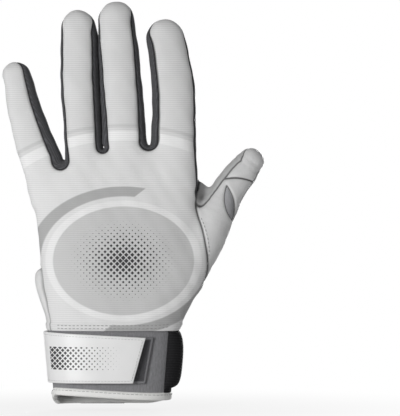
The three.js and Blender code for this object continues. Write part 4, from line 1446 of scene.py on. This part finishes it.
def stitch_mesh(starts, ends, normals, radius):
    """A rounded, arched thread between each pair of ends."""
    turn = np.linspace(0.0, math.pi, STITCH_RINGS)
    run = ends - starts
    along = run / np.linalg.norm(run, axis=1)[:, None]
    side = np.cross(normals, along)
    side /= np.linalg.norm(side, axis=1)[:, None]
    up = np.cross(along, side)
    share = (1 - np.cos(turn)) / 2
    middle = starts[:, None] + run[:, None] * share[:, None] + up[:, None] * (radius * np.sin(turn))[:, None]
    size = radius * np.sqrt(lerp(STITCH_END, 1.0, np.sin(turn)))
    spin = 2 * math.pi * np.arange(STITCH_SIDES) / STITCH_SIDES
    spoke = (np.cos(spin)[:, None] * side[:, None, None] + np.sin(spin)[:, None] * up[:, None, None])
    points = middle[:, :, None] + size[:, None, None] * spoke
    index = np.arange(STITCH_RINGS * STITCH_SIDES).reshape(STITCH_RINGS, STITCH_SIDES)
    a, b = index[:-1], index[1:]
    corners = [a, np.roll(a, -1, 1), np.roll(b, -1, 1), b]
    tube = np.stack([corner.ravel() for corner in corners], axis=1)
    tube = np.concatenate([tube[:, [0, 1, 2]], tube[:, [0, 2, 3]]])
    fan = [(0, k + 1, k) for k in range(1, STITCH_SIDES - 1)]
    last = index[-1, 0]
    fan += [(last, last + k, last + k + 1) for k in range(1, STITCH_SIDES - 1)]
    one = np.concatenate([tube, np.array(fan)])
    count = STITCH_RINGS * STITCH_SIDES
    faces = one[None] + count * np.arange(len(starts))[:, None, None]
    return points.reshape(-1, 3), faces.reshape(-1, 3)


def add_stitches(name, rows, move, finish="thread",
                 length=STITCH_LENGTH, gap=STITCH_GAP, radius=STITCH_RADIUS):
    """One mesh of all stitches in some rows, each a line of points, their normals and whether it closes."""
    ends = [stitch_ends(line, normals, closed, length, gap) for line, normals, closed in rows]
    starts, stops, normals = (np.concatenate(column) for column in zip(*ends))
    points, faces = stitch_mesh(starts, stops, normals, radius)
    move(add_mesh(name, points, faces, finish))


def sewn_row(places, lift, closed=False):
    """A row over the glove's body near some places, at a lift from its surface."""
    places = onto_surface(places, rounds=4)
    normals = surface_normals(places)
    return places + normals * (lift + undulation(places))[:, None], normals, closed


def rounded_box_line(half_a, half_b, corner):
    """Points around a rectangle with round corners."""
    turn = np.linspace(0.0, math.pi / 2, CORNER_POINTS)
    corners = []
    for number, (sign_a, sign_b) in enumerate(((1, 1), (-1, 1), (-1, -1), (1, -1))):
        angle = turn + number * math.pi / 2
        a = sign_a * (half_a - corner) + corner * np.cos(angle)
        b = sign_b * (half_b - corner) + corner * np.sin(angle)
        corners.append(np.stack([a, b], axis=1))
    return even_line(np.concatenate(corners))


def even_line(corners):
    """Evenly spaced points along a closed line through some corners."""
    ring = np.concatenate([corners, corners[:1]])
    places = run_lengths(ring)
    where = np.linspace(0.0, places[-1], round(places[-1] / LINE_STEP), endpoint=False)
    return along_line(where, places, ring)


PAD_ROW = 0.5
PAD_ROW_LIFT = -0.3
for name, pad in FINGER_PADS.items():
    finger = next(finger for finger in fingers if finger.name == pad["finger"])
    half = (pad["end"] - pad["start"]) / 2 + PAD_ROW
    line = rounded_box_line(pad["width"] / 2 + PAD_ROW, half, pad["corner"] + PAD_ROW)
    along = line[:, 1] + (pad["start"] + pad["end"]) / 2
    row = sewn_row(finger.point(line[:, 0], along, -finger.half_depth), PAD_ROW_LIFT, closed=True)
    add_stitches(f"{name}_stitches", [row], digit_moves(finger)["_tip_" in name])


def palm_point(x, z):
    return np.stack([x, hand_palm(z), z], axis=1)


def back_point(x, z):
    return np.stack([x, -hand_back(z), z], axis=1)


def palm_pad_line():
    """Points around the palm pad, just outside its seam."""
    corners = np.array(PALM_PAD_CORNERS)
    radius = PALM_PAD_RADIUS + PAD_ROW
    turn = np.linspace(0.0, 2 * math.pi, ROUND_POINTS, endpoint=False)
    cloud = (corners[:, None] + radius * np.stack([np.cos(turn), np.sin(turn)], axis=1)).reshape(-1, 2)
    outermost = polygon_distance(*cloud.T, PALM_PAD_CORNERS) > radius - TOUCH / 2
    cloud = cloud[outermost]
    return even_line(cloud[np.argsort(np.arctan2(*(cloud - corners.mean(axis=0)).T))])


row = sewn_row(palm_point(*palm_pad_line().T), PAD_ROW_LIFT, closed=True)
add_stitches("palm_pad_stitches", [row], ride_hand)

# Two rows along the folded edge of the back, one along the palm's
FOLD_ROWS = (1.5, 3.3)
PALM_FOLD_ROW = 1.9
FOLD_ROW_LIFT = PANEL_SWELL + FOLD_LIFT
FOLD_ROW_ENDS = (-36.0, 37.5)
spread = np.linspace(*FOLD_ROW_ENDS, 2 * ROW_POINTS)


def fold_row(side_point, height):
    places = side_point(spread, np.full(len(spread), CUFF_TOP + height))
    return sewn_row(places, FOLD_ROW_LIFT)


rows = [fold_row(back_point, height) for height in FOLD_ROWS]
add_stitches("back_fold_stitches", rows, ride_hand, radius=FINE_RADIUS)
add_stitches("palm_fold_stitches", [fold_row(palm_point, PALM_FOLD_ROW)], ride_hand, radius=0.22)

# One row inside the edge of each finger's palm panel
EDGE_ROW = 2.0
EDGE_ROW_DEPTH = 0.46
EDGE_ROW_END = 1.0
TIP_ROW_POINTS = 40


def edge_row_reach(finger, side, along):
    """Depth of the row and its distance from the finger's middle line."""
    half_width, half_depth = finger.sizes(along)
    inside = finger.palm_edge(side, along) * half_depth + EDGE_ROW
    depth = np.maximum(inside, EDGE_ROW_DEPTH * half_depth)
    share = (1 - (depth / half_depth) ** FINGER_ROUNDNESS) ** (1 / FINGER_ROUNDNESS)
    return depth, share * half_width


def edge_row_side(finger, side, low, high):
    along = np.linspace(low, high, ROW_POINTS)
    depth, reach = edge_row_reach(finger, side, along)
    return finger.point(side * reach, along, -depth)


def edge_row_tip(finger):
    turn = np.linspace(math.pi, 0.0, TIP_ROW_POINTS)
    side, ahead = np.cos(turn), np.sin(turn)
    depth, reach = edge_row_reach(finger, side, finger.tip_start + finger.tip_half_width * ahead)
    return finger.point(reach * side, finger.tip_start + reach * ahead, -depth)


EDGE_ROW_LIFT = float(seam_lift(np.array(EDGE_ROW)))
for finger in fingers:
    low, high = FINGER_START + EDGE_ROW_END, finger.middle - EDGE_ROW_END
    base_lines = [edge_row_side(finger, side, low, high) for side in (-1, 1)]
    low, high = finger.middle + EDGE_ROW_END, finger.tip_start
    left, right = (edge_row_side(finger, side, low, high) for side in (-1, 1))
    tip_line = np.concatenate([left[:-1], edge_row_tip(finger), right[-2::-1]])
    for part, lines, move in zip(("base", "tip"), (base_lines, [tip_line]), digit_moves(finger)):
        rows = [sewn_row(line, EDGE_ROW_LIFT) for line in lines]
        name = f"{finger.name}_{part}_edge_stitches"
        add_stitches(name, rows, move, "light_thread", radius=FINE_RADIUS)

# One row on the thumb beside the seam that joins it to the hand
THUMB_ROW_HEIGHTS = (112.0, 76.0)
THUMB_ROW_BACK = -10.0
heights = np.linspace(*THUMB_ROW_HEIGHTS, ROW_POINTS)
places = [thumb.seam_x(heights) + EDGE_ROW, np.full(ROW_POINTS, THUMB_ROW_BACK), heights]
row = sewn_row(np.stack(places, axis=1), EDGE_ROW_LIFT)
add_stitches("thumb_seam_stitches", [row], thumb_moves[0], radius=0.18)

# Cuff band: places on it are a length along its outline, from the thumb side over the palm, and a height
CUFF_HALF_WIDTHS = (35.2, 39.0)
CUFF_HALF_DEPTH = 20.0
CUFF_ROUNDNESS = 2.6
CUFF_WALL = 1.8
CUFF_TUCK = 1.4
CUFF_OVERLAP = 0.9
BEND_ROWS = 5


def bowed(value):
    return np.sign(value) * np.abs(value) ** (2 / CUFF_ROUNDNESS)


def cuff_half_width(height):
    return lerp(*CUFF_HALF_WIDTHS, height / CUFF_TOP)


def cuff_point(angle, height):
    turn = np.radians(angle)
    x = cuff_half_width(height) * bowed(np.cos(turn))
    y = CUFF_HALF_DEPTH * bowed(np.sin(turn))
    return np.stack([x, y, height], axis=-1)


CUFF_TURNS = np.linspace(-360.0, 360.0, 2881)
cuff_ring = cuff_point(CUFF_TURNS, np.full(len(CUFF_TURNS), CUFF_TOP / 2))
CUFF_ARCS = run_lengths(cuff_ring)
CUFF_ARCS -= np.interp(0.0, CUFF_TURNS, CUFF_ARCS)


def arc_of(angle):
    return np.interp(angle, CUFF_TURNS, CUFF_ARCS)


def cuff_at(arc, height):
    return cuff_point(np.interp(arc, CUFF_ARCS, CUFF_TURNS), height)


def back_arc(x, height):
    """Place along the cuff's back where it has this X."""
    share = x / cuff_half_width(height)
    return arc_of(-np.degrees(np.arccos(np.sign(share) * np.abs(share) ** (CUFF_ROUNDNESS / 2))))


OUTER_ARC = arc_of(180.0)
GUSSET_BACK_ARC = arc_of(-31.0)
GUSSET_PALM_ANGLES = (46.0, 7.0)


def gusset_palm_arc(height):
    return arc_of(lerp(*GUSSET_PALM_ANGLES, np.clip(height / CUFF_TOP, 0.0, 1.0)))


def edge_rows(length, spacing, radius):
    """Shares along a length, closer together within its rounded ends."""
    bend = radius * (1 - np.cos(np.linspace(0.0, math.pi / 2, BEND_ROWS)))[:-1]
    flat = np.linspace(radius, length - radius, max(2, round((length - 2 * radius) / spacing) + 1))
    return np.concatenate([bend, flat, length - bend[::-1]]) / length


def sheet_frame(surface, a, b):
    """Points of a surface with their outward normals."""
    step = 1e-3
    run = surface(a + step, b) - surface(a - step, b)
    rise = surface(a, b + step) - surface(a, b - step)
    normal = np.cross(run, rise)
    return surface(a, b), normal / np.linalg.norm(normal, axis=-1, keepdims=True)


def add_sheet(name, surface, size, outer, inner, rounding, finish, move, spacing=2.0):
    """A closed sheet over a surface, with rounded edges, between two lifts that may vary over it."""
    width, height = size
    shares = [edge_rows(length, spacing, rounding) for length in size]
    a, b = np.meshgrid(*shares, indexing="ij")
    places, normals = sheet_frame(surface, a, b)
    margin = np.minimum(np.minimum(a, 1 - a) * width, np.minimum(b, 1 - b) * height)
    past = np.clip(1 - margin / rounding, 0.0, 1.0)
    drop = rounding * (1 - np.sqrt(1 - past ** 2))
    outside = places + normals * (outer(a, b) - drop)[..., None]
    inside = places + normals * (inner(a, b) + drop)[..., None]
    points = np.concatenate([outside.reshape(-1, 3), inside.reshape(-1, 3)])
    rows, columns = a.shape
    index = np.arange(rows * columns).reshape(rows, columns)
    ring = [index[:-1, :-1], index[1:, :-1], index[1:, 1:], index[:-1, 1:]]
    front = np.stack([corner.ravel() for corner in ring], axis=1)
    rim = boundary_edges(front)
    count = rows * columns
    walls = np.stack([rim[:, 1], rim[:, 0], rim[:, 0] + count, rim[:, 1] + count], axis=1)
    faces = np.concatenate([front, front[:, ::-1] + count, walls])
    # The distance from the sheet's edge is its seam: it places the painted seam shade on the leather binding
    # and the painted highlight of the pile's rim
    piece = add_mesh(f"{name}_look", points, faces, finish, seam=np.tile(margin.ravel(), 2))
    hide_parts(name)
    move(piece)


def level(value):
    return lambda a, b: np.full(np.shape(a), value)


def sheet_row(surface, corners, lift, step=0.02):
    """A row over a sheet through some places on it, at a lift that may vary."""
    corners = np.array(corners, float)
    shares = [np.linspace(0.0, 1.0, max(2, round(np.abs(b - a).max() / step)), endpoint=False)
              for a, b in zip(corners, corners[1:])]
    places = [lerp(a, b, share[:, None]) for a, b, share in zip(corners, corners[1:], shares)]
    a, b = np.concatenate(places + [corners[-1:]]).T
    points, normals = sheet_frame(surface, a, b)
    return points + normals * lift(a, b)[:, None], normals, False


# Bound hem, lower on the palm side, and rising along the back towards the little-finger edge
HEM_HEIGHT = 4.8
HEM_PALM = -3.0
HEM_BACK = (0.2, 3.3)
HEM_EDGE = 0.2
HEM_TURN = 0.9
HEM_DIP = (4.0, 26.0)


def hem_bottom(arc):
    back = lerp(*HEM_BACK, smoothstep(GUSSET_BACK_ARC, -HEM_TURN * OUTER_ARC, arc))
    side = lerp(back, HEM_PALM, smoothstep(*HEM_DIP, arc))
    return lerp(side, HEM_EDGE, smoothstep(HEM_TURN * OUTER_ARC, OUTER_ARC, np.abs(arc)))


def hem_surface(a, b):
    arc = lerp(-OUTER_ARC, OUTER_ARC, a)
    return cuff_at(arc, hem_bottom(arc) + HEM_HEIGHT * b)


# The two halves of the band, whose upper edge tucks under the panels of the hand
BAND_SIZE = (OUTER_ARC, CUFF_TOP)
BAND_TOP = CUFF_TOP + 1.2
BAND_RISE = 0.2
BAND_TUCK = (0.955, 0.985)
BAND_ROUNDING = 0.5


def cuff_tuck(lift):
    return lambda a, b: lift - CUFF_TUCK * smoothstep(*BAND_TUCK, b)


def band_point(arc, b):
    return cuff_at(arc, lerp(hem_bottom(arc) + BAND_RISE, BAND_TOP, b))


def back_band(a, b):
    return band_point(lerp(-OUTER_ARC, GUSSET_BACK_ARC + CUFF_OVERLAP, a), b)


def palm_band(a, b):
    return band_point(lerp(gusset_palm_arc(BAND_TOP * b) - CUFF_OVERLAP, OUTER_ARC, a), b)


for name, surface in (("cuff_back", back_band), ("cuff_palm", palm_band)):
    lifts = cuff_tuck(0.0), cuff_tuck(-CUFF_WALL)
    add_sheet(name, surface, BAND_SIZE, *lifts, BAND_ROUNDING, "neoprene_cuff", ride_hand)

# The hem itself, with its row of stitches
HEM_LIFTS = (1.1, -CUFF_WALL - 0.6)
HEM_SIZE = (2 * OUTER_ARC, HEM_HEIGHT)
HEM_ROUNDING = 1.2
lifts = [level(lift) for lift in HEM_LIFTS]
add_sheet("hem_binding", hem_surface, HEM_SIZE, *lifts, HEM_ROUNDING, "edge_binding", ride_hand, spacing=1.2)
HEM_ROW = 0.72
HEM_ROW_ENDS = (0.005, 0.995)
row = sheet_row(hem_surface, [(end, HEM_ROW) for end in HEM_ROW_ENDS], lifts[0], step=0.004)
add_stitches("hem_stitches", [row], ride_hand, length=2.2, gap=0.5, radius=0.15)

# Stretch gusset that puffs out between the two halves of the cuff
GUSSET_TOP = CUFF_TOP + 0.6
PUFF_BOTTOM = 8.0
PUFF_SKEW = 0.8
GUSSET_BULGE = 5.4
GUSSET_RISE = 2.0
GUSSET_LIFT = 0.5
GUSSET_WALL = 1.6
GUSSET_SIZE = (30.0, GUSSET_TOP)
GUSSET_ROUNDING = 0.6


def gusset_surface(a, b):
    arc = lerp(GUSSET_BACK_ARC, gusset_palm_arc(GUSSET_TOP * b), a)
    return cuff_at(arc, lerp(hem_bottom(arc) + GUSSET_RISE, GUSSET_TOP, b))


def dome(share, roundness):
    """A rounded rise between the two ends of a length."""
    return np.sqrt(np.maximum(1 - np.abs(2 * share - 1) ** roundness, 0.0))


def gusset_lift(a, b):
    height = gusset_surface(a, b)[..., 2]
    rise = np.clip((height - PUFF_BOTTOM) / (GUSSET_TOP - PUFF_BOTTOM), 0.0, 1.0)
    puff = dome(rise ** PUFF_SKEW, roundness=3.0) * dome(a, roundness=2.6)
    return GUSSET_LIFT + GUSSET_BULGE * puff


def gusset_inner(a, b):
    return gusset_lift(a, b) - GUSSET_WALL


lifts = gusset_lift, gusset_inner
add_sheet("cuff_gusset", gusset_surface, GUSSET_SIZE, *lifts, GUSSET_ROUNDING, "stretch_gusset", ride_hand,
          spacing=1.2)

# White binding over the seam between palm and cuff
ANCHOR_ARC = arc_of(167.75)
BINDING_BOTTOM = 40.4
BINDING_TOP = CUFF_TOP + 0.9
BINDING_SAG = 1.6
BINDING_SIZE = (OUTER_ARC, 3.2)
BINDING_LIFTS = (1.15, 0.05)
BINDING_ROUNDING = 0.5


def binding_surface(a, b):
    arc = lerp(gusset_palm_arc(CUFF_TOP), ANCHOR_ARC, a)
    bottom = BINDING_BOTTOM - BINDING_SAG * np.sin(np.pi * a)
    return cuff_at(arc, lerp(bottom, BINDING_TOP, b))


lifts = [level(lift) for lift in BINDING_LIFTS]
add_sheet("palm_binding", binding_surface, BINDING_SIZE, *lifts, BINDING_ROUNDING, "palm_leather", ride_hand)

# Closure: the strap, its anchor and the two patches under it
STRAP_BOTTOM = 11.0
STRAP_TOPS = (42.2, 38.6)
STRAP_THICKNESS = 1.7
STRAP_ENDS = (12.8, 20.1)
STRAP_ROOT_ARC = arc_of(-172.0)
STRAP_LIFTS = (1.0, 3.2)
PATCH_BOTTOM = 10.6
PATCH_TOP = 38.8
LOOP_LEFT = -24.0
LOOP_ENDS = (20.6, 25.6)
HOOK_LEFT = -12.0
HOOK_INSET = 2.0
HOOK_SIZE = (30.0, PATCH_TOP - PATCH_BOTTOM)
HOOK_LIFTS = (3.0, 1.7)
HOOK_ROUNDING = 0.5
LOOP_SIZE = (48.0, PATCH_TOP - PATCH_BOTTOM)
LOOP_LIFTS = (1.1, 0.1)
LOOP_ROUNDING = 0.9
LOOP_BEAD = dict(height=0.5, inset=1.1, half_width=0.7)
ANCHOR_END_ARC = arc_of(187.4)
ANCHOR_SIZE = (9.0, 31.0)
ANCHOR_LIFTS = (2.9, 0.3)
ANCHOR_ROUNDING = 0.9
STRAP_SIZE = (66.0, 29.0)
STRAP_ROUNDING = 0.7
STRAP_BEND = (0.05, 0.35)
STRAP_FOLD = (-39.6, -4.6, 25.0)
ANCHOR_ROW = ((0.25, 0.05), (0.25, 0.95))


def strap_end(height):
    share = (height - STRAP_BOTTOM) / (STRAP_TOPS[1] - STRAP_BOTTOM)
    return lerp(*STRAP_ENDS, share)


def strap_surface(a, b):
    height = lerp(STRAP_BOTTOM, lerp(*STRAP_TOPS, a), b)
    return cuff_at(lerp(STRAP_ROOT_ARC, back_arc(strap_end(height), height), a), height)


def strap_inner(a, b):
    return lerp(*STRAP_LIFTS, smoothstep(*STRAP_BEND, a))


def strap_outer(a, b):
    return strap_inner(a, b) + STRAP_THICKNESS


def anchor_surface(a, b):
    arc = lerp(ANCHOR_ARC, ANCHOR_END_ARC, a)
    return cuff_at(arc, lerp(STRAP_BOTTOM, STRAP_TOPS[0], b))


def patch_surface(left, right):
    def surface(a, b):
        height = lerp(PATCH_BOTTOM, PATCH_TOP, b)
        return cuff_at(back_arc(lerp(left, right(height), a), height), height)

    return surface


def loop_right(height):
    return lerp(*LOOP_ENDS, (height - PATCH_BOTTOM) / (PATCH_TOP - PATCH_BOTTOM))


def hook_right(height):
    return strap_end(height) - HOOK_INSET


def loop_outer(a, b):
    """A low bead runs along the patch's edge."""
    length, height = LOOP_SIZE
    margin = np.minimum((1 - a) * length, np.minimum(b, 1 - b) * height)
    bead = np.exp(-((margin - LOOP_BEAD["inset"]) / LOOP_BEAD["half_width"]) ** 2)
    return LOOP_LIFTS[0] + LOOP_BEAD["height"] * bead


def ride_strap(piece):
    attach(piece, "strap")


strap_move = bend_between("hand", "strap", STRAP_FOLD, (0.0, -1.0, 0.0), length=8.0)
loop_surface = patch_surface(LOOP_LEFT, loop_right)
lifts = loop_outer, level(LOOP_LIFTS[1])
add_sheet("loop_patch", loop_surface, LOOP_SIZE, *lifts, LOOP_ROUNDING, "hook_and_loop", ride_hand,
          spacing=0.9)
hook_surface = patch_surface(HOOK_LEFT, hook_right)
lifts = [level(lift) for lift in HOOK_LIFTS]
add_sheet("hook_patch", hook_surface, HOOK_SIZE, *lifts, HOOK_ROUNDING, "hook_and_loop", ride_strap)
lifts = [level(lift) for lift in ANCHOR_LIFTS]
add_sheet("strap_anchor", anchor_surface, ANCHOR_SIZE, *lifts, ANCHOR_ROUNDING, "strap_white", ride_hand)
anchor_row = sheet_row(anchor_surface, ANCHOR_ROW, lifts[0])
lifts = strap_outer, strap_inner
add_sheet("strap", strap_surface, STRAP_SIZE, *lifts, STRAP_ROUNDING, "strap_white", strap_move)

# Stitches of the strap and of its anchor
STRAP_ROW = 1.5
STRAP_ROW_START = 0.03
inner = STRAP_ROW / STRAP_SIZE[1]
outer = 1 - inner
tip = 1 - STRAP_ROW / STRAP_SIZE[0]
corners = ((STRAP_ROW_START, outer), (tip, outer), (tip, inner), (STRAP_ROW_START, inner))
row = sheet_row(strap_surface, corners, strap_outer)
add_stitches("strap_stitches", [row], strap_move, "light_thread", length=1.5, gap=0.5, radius=0.15)
add_stitches("anchor_stitches", [anchor_row], ride_hand, "light_thread", radius=0.18)

# Pull tab on the palm side of the cuff
TAB_TOP = 38.9
TAB_BOTTOM = -3.4
TAB_SIDES = ((7.0, 14.5), (-20.0, -24.6))
TAB_FACE = 21.7
TAB_SIZE = (33.0, TAB_TOP - TAB_BOTTOM)
TAB_HALF = 1.0
TAB_ROUNDING = 0.8
TAB_FOLD = (-5.0, TAB_FACE, TAB_TOP)


def tab_surface(a, b):
    left, right = (lerp(*side, b) for side in TAB_SIDES)
    face = np.full(np.shape(a), TAB_FACE)
    return np.stack([lerp(left, right, a), face, lerp(TAB_BOTTOM, TAB_TOP, b)], axis=-1)


tab_move = bend_between("hand", "pull_tab", TAB_FOLD, (0.0, 0.0, -1.0), length=5.0)
lifts = level(TAB_HALF), level(-TAB_HALF)
add_sheet("pull_tab", tab_surface, TAB_SIZE, *lifts, TAB_ROUNDING, "tab_webbing", tab_move)

# Stitches of the tab, with a sewn box and cross
TAB_EDGE = 0.06
TAB_END = 0.04
TAB_ROWS = (0.895, 0.955)
TAB_ROWS_START = 0.88
TAB_BOX = ((0.25, 0.75), (0.38, 0.70))


def tab_rows(lines):
    return [sheet_row(tab_surface, line, level(TAB_HALF)) for line in lines]


lines = [((TAB_END, height), (1 - TAB_END, height)) for height in TAB_ROWS]
lines += [((side, TAB_END), (side, TAB_ROWS_START)) for side in (TAB_EDGE, 1 - TAB_EDGE)]
lines.append(((TAB_EDGE, TAB_END), (1 - TAB_EDGE, TAB_END)))
add_stitches("tab_stitches", tab_rows(lines), tab_move, "dark_thread", radius=FINE_RADIUS)
(left, right), (low, high) = TAB_BOX
box = ((left, low), (right, low), (right, high), (left, high), (left, low))
lines = (box, ((left, low), (right, high)), ((left, high), (right, low)))
rows = tab_rows(lines)
add_stitches("tab_box_stitches", rows, tab_move, "green_thread", length=2.0, gap=0.5, radius=0.36)

# Stage, light and camera
FRAME_HEIGHT = 416
MM_PER_PIXEL = 0.61
VIEW_CENTRE = (53.7, 116.95)
LENS = 300.0
SENSOR = 36.0
LAMP_TARGET = (0.02, 0.0, 0.12)
WORLD_STRENGTHS = (0.25, 1.0)
FLOOR_HALF = 2.0
FLOOR_DROP = 0.001
FLOOR_FADE = (0.04, 0.28)
FLOOR_WHITENESS = (0.8, 1.0)


def add_camera():
    data = bpy.data.cameras.new("camera")
    data.lens = LENS
    data.sensor_width = SENSOR
    data.sensor_fit = "VERTICAL"
    data.sensor_height = SENSOR
    distance = FRAME_HEIGHT * MM_PER_PIXEL * LENS / SENSOR
    camera = bpy.data.objects.new("camera", data)
    camera.location = (VIEW_CENTRE[0] * MM, -distance * MM, VIEW_CENTRE[1] * MM)
    camera.rotation_euler = (math.pi / 2, 0.0, 0.0)
    bpy.context.scene.collection.objects.link(camera)
    bpy.context.scene.camera = camera


def add_lamp(name, place, size, power):
    data = bpy.data.lights.new(name, "AREA")
    data.shape = "DISK"
    data.size = size
    data.energy = power
    lamp = bpy.data.objects.new(name, data)
    lamp.location = place
    x, y, z = np.array(LAMP_TARGET) - np.array(place)
    lamp.rotation_euler = (math.atan2(math.hypot(x, y), -z), 0.0, math.atan2(x, -y) + math.pi)
    bpy.context.scene.collection.objects.link(lamp)


def add_world():
    world = bpy.data.worlds.new("studio")
    world.use_nodes = True
    tree = world.node_tree
    background = tree.nodes["Background"]
    background.inputs["Color"].default_value = (1.0, 1.0, 1.0, 1.0)
    seen = add_node(tree, "ShaderNodeLightPath").outputs["Is Camera Ray"]
    inputs = {"Value": seen, "To Min": WORLD_STRENGTHS[0], "To Max": WORLD_STRENGTHS[1]}
    strength = add_node(tree, "ShaderNodeMapRange", inputs)
    put(tree, background.inputs["Strength"], strength.outputs["Result"])
    bpy.context.scene.world = world


def add_floor():
    """A floor that is white in the picture and still takes the shadow."""
    mesh = bpy.data.meshes.new("floor")
    ground = float(cad_box[0][2]) - FLOOR_DROP
    corners = [(FLOOR_HALF * x, FLOOR_HALF * y, ground) for x, y in ((-1, -1), (1, -1), (1, 1), (-1, 1))]
    mesh.from_pydata(corners, [], [(0, 1, 2, 3)])
    material = bpy.data.materials.new("floor")
    material.use_nodes = True
    tree = material.node_tree
    matte = tree.nodes["Principled BSDF"]
    matte.inputs["Base Color"].default_value = (0.8, 0.8, 0.8, 1.0)
    matte.inputs["Roughness"].default_value = 1.0
    white = add_node(tree, "ShaderNodeEmission", {"Strength": 1.0})
    place = add_node(tree, "ShaderNodeTexCoord").outputs["Object"]
    distance = add_node(tree, "ShaderNodeVectorMath", {0: place}, operation="LENGTH").outputs["Value"]
    inputs = {"Value": distance, "From Min": FLOOR_FADE[0], "From Max": FLOOR_FADE[1],
              "To Min": FLOOR_WHITENESS[0], "To Max": FLOOR_WHITENESS[1]}
    fade = add_node(tree, "ShaderNodeMapRange", inputs, interpolation_type="SMOOTHSTEP").outputs["Result"]
    seen = add_node(tree, "ShaderNodeLightPath").outputs["Is Camera Ray"]
    share = add_node(tree, "ShaderNodeMath", {0: fade, 1: seen}, operation="MULTIPLY").outputs[0]
    inputs = {"Fac": share, 1: matte.outputs[0], 2: white.outputs[0]}
    blend = add_node(tree, "ShaderNodeMixShader", inputs)
    put(tree, tree.nodes["Material Output"].inputs["Surface"], blend.outputs[0])
    mesh.materials.append(material)
    floor = bpy.data.objects.new("floor", mesh)
    bpy.context.scene.collection.objects.link(floor)


add_camera()
add_world()
add_floor()
add_lamp("key", (-0.64, -0.93, 0.16), size=0.4, power=8.6)
add_lamp("fill", (0.85, -0.7, 0.1), size=0.7, power=1.3)
add_lamp("rear", (0.3, 1.06, 0.18), size=0.4, power=8.4)
bpy.context.scene.view_settings.view_transform = "Standard"
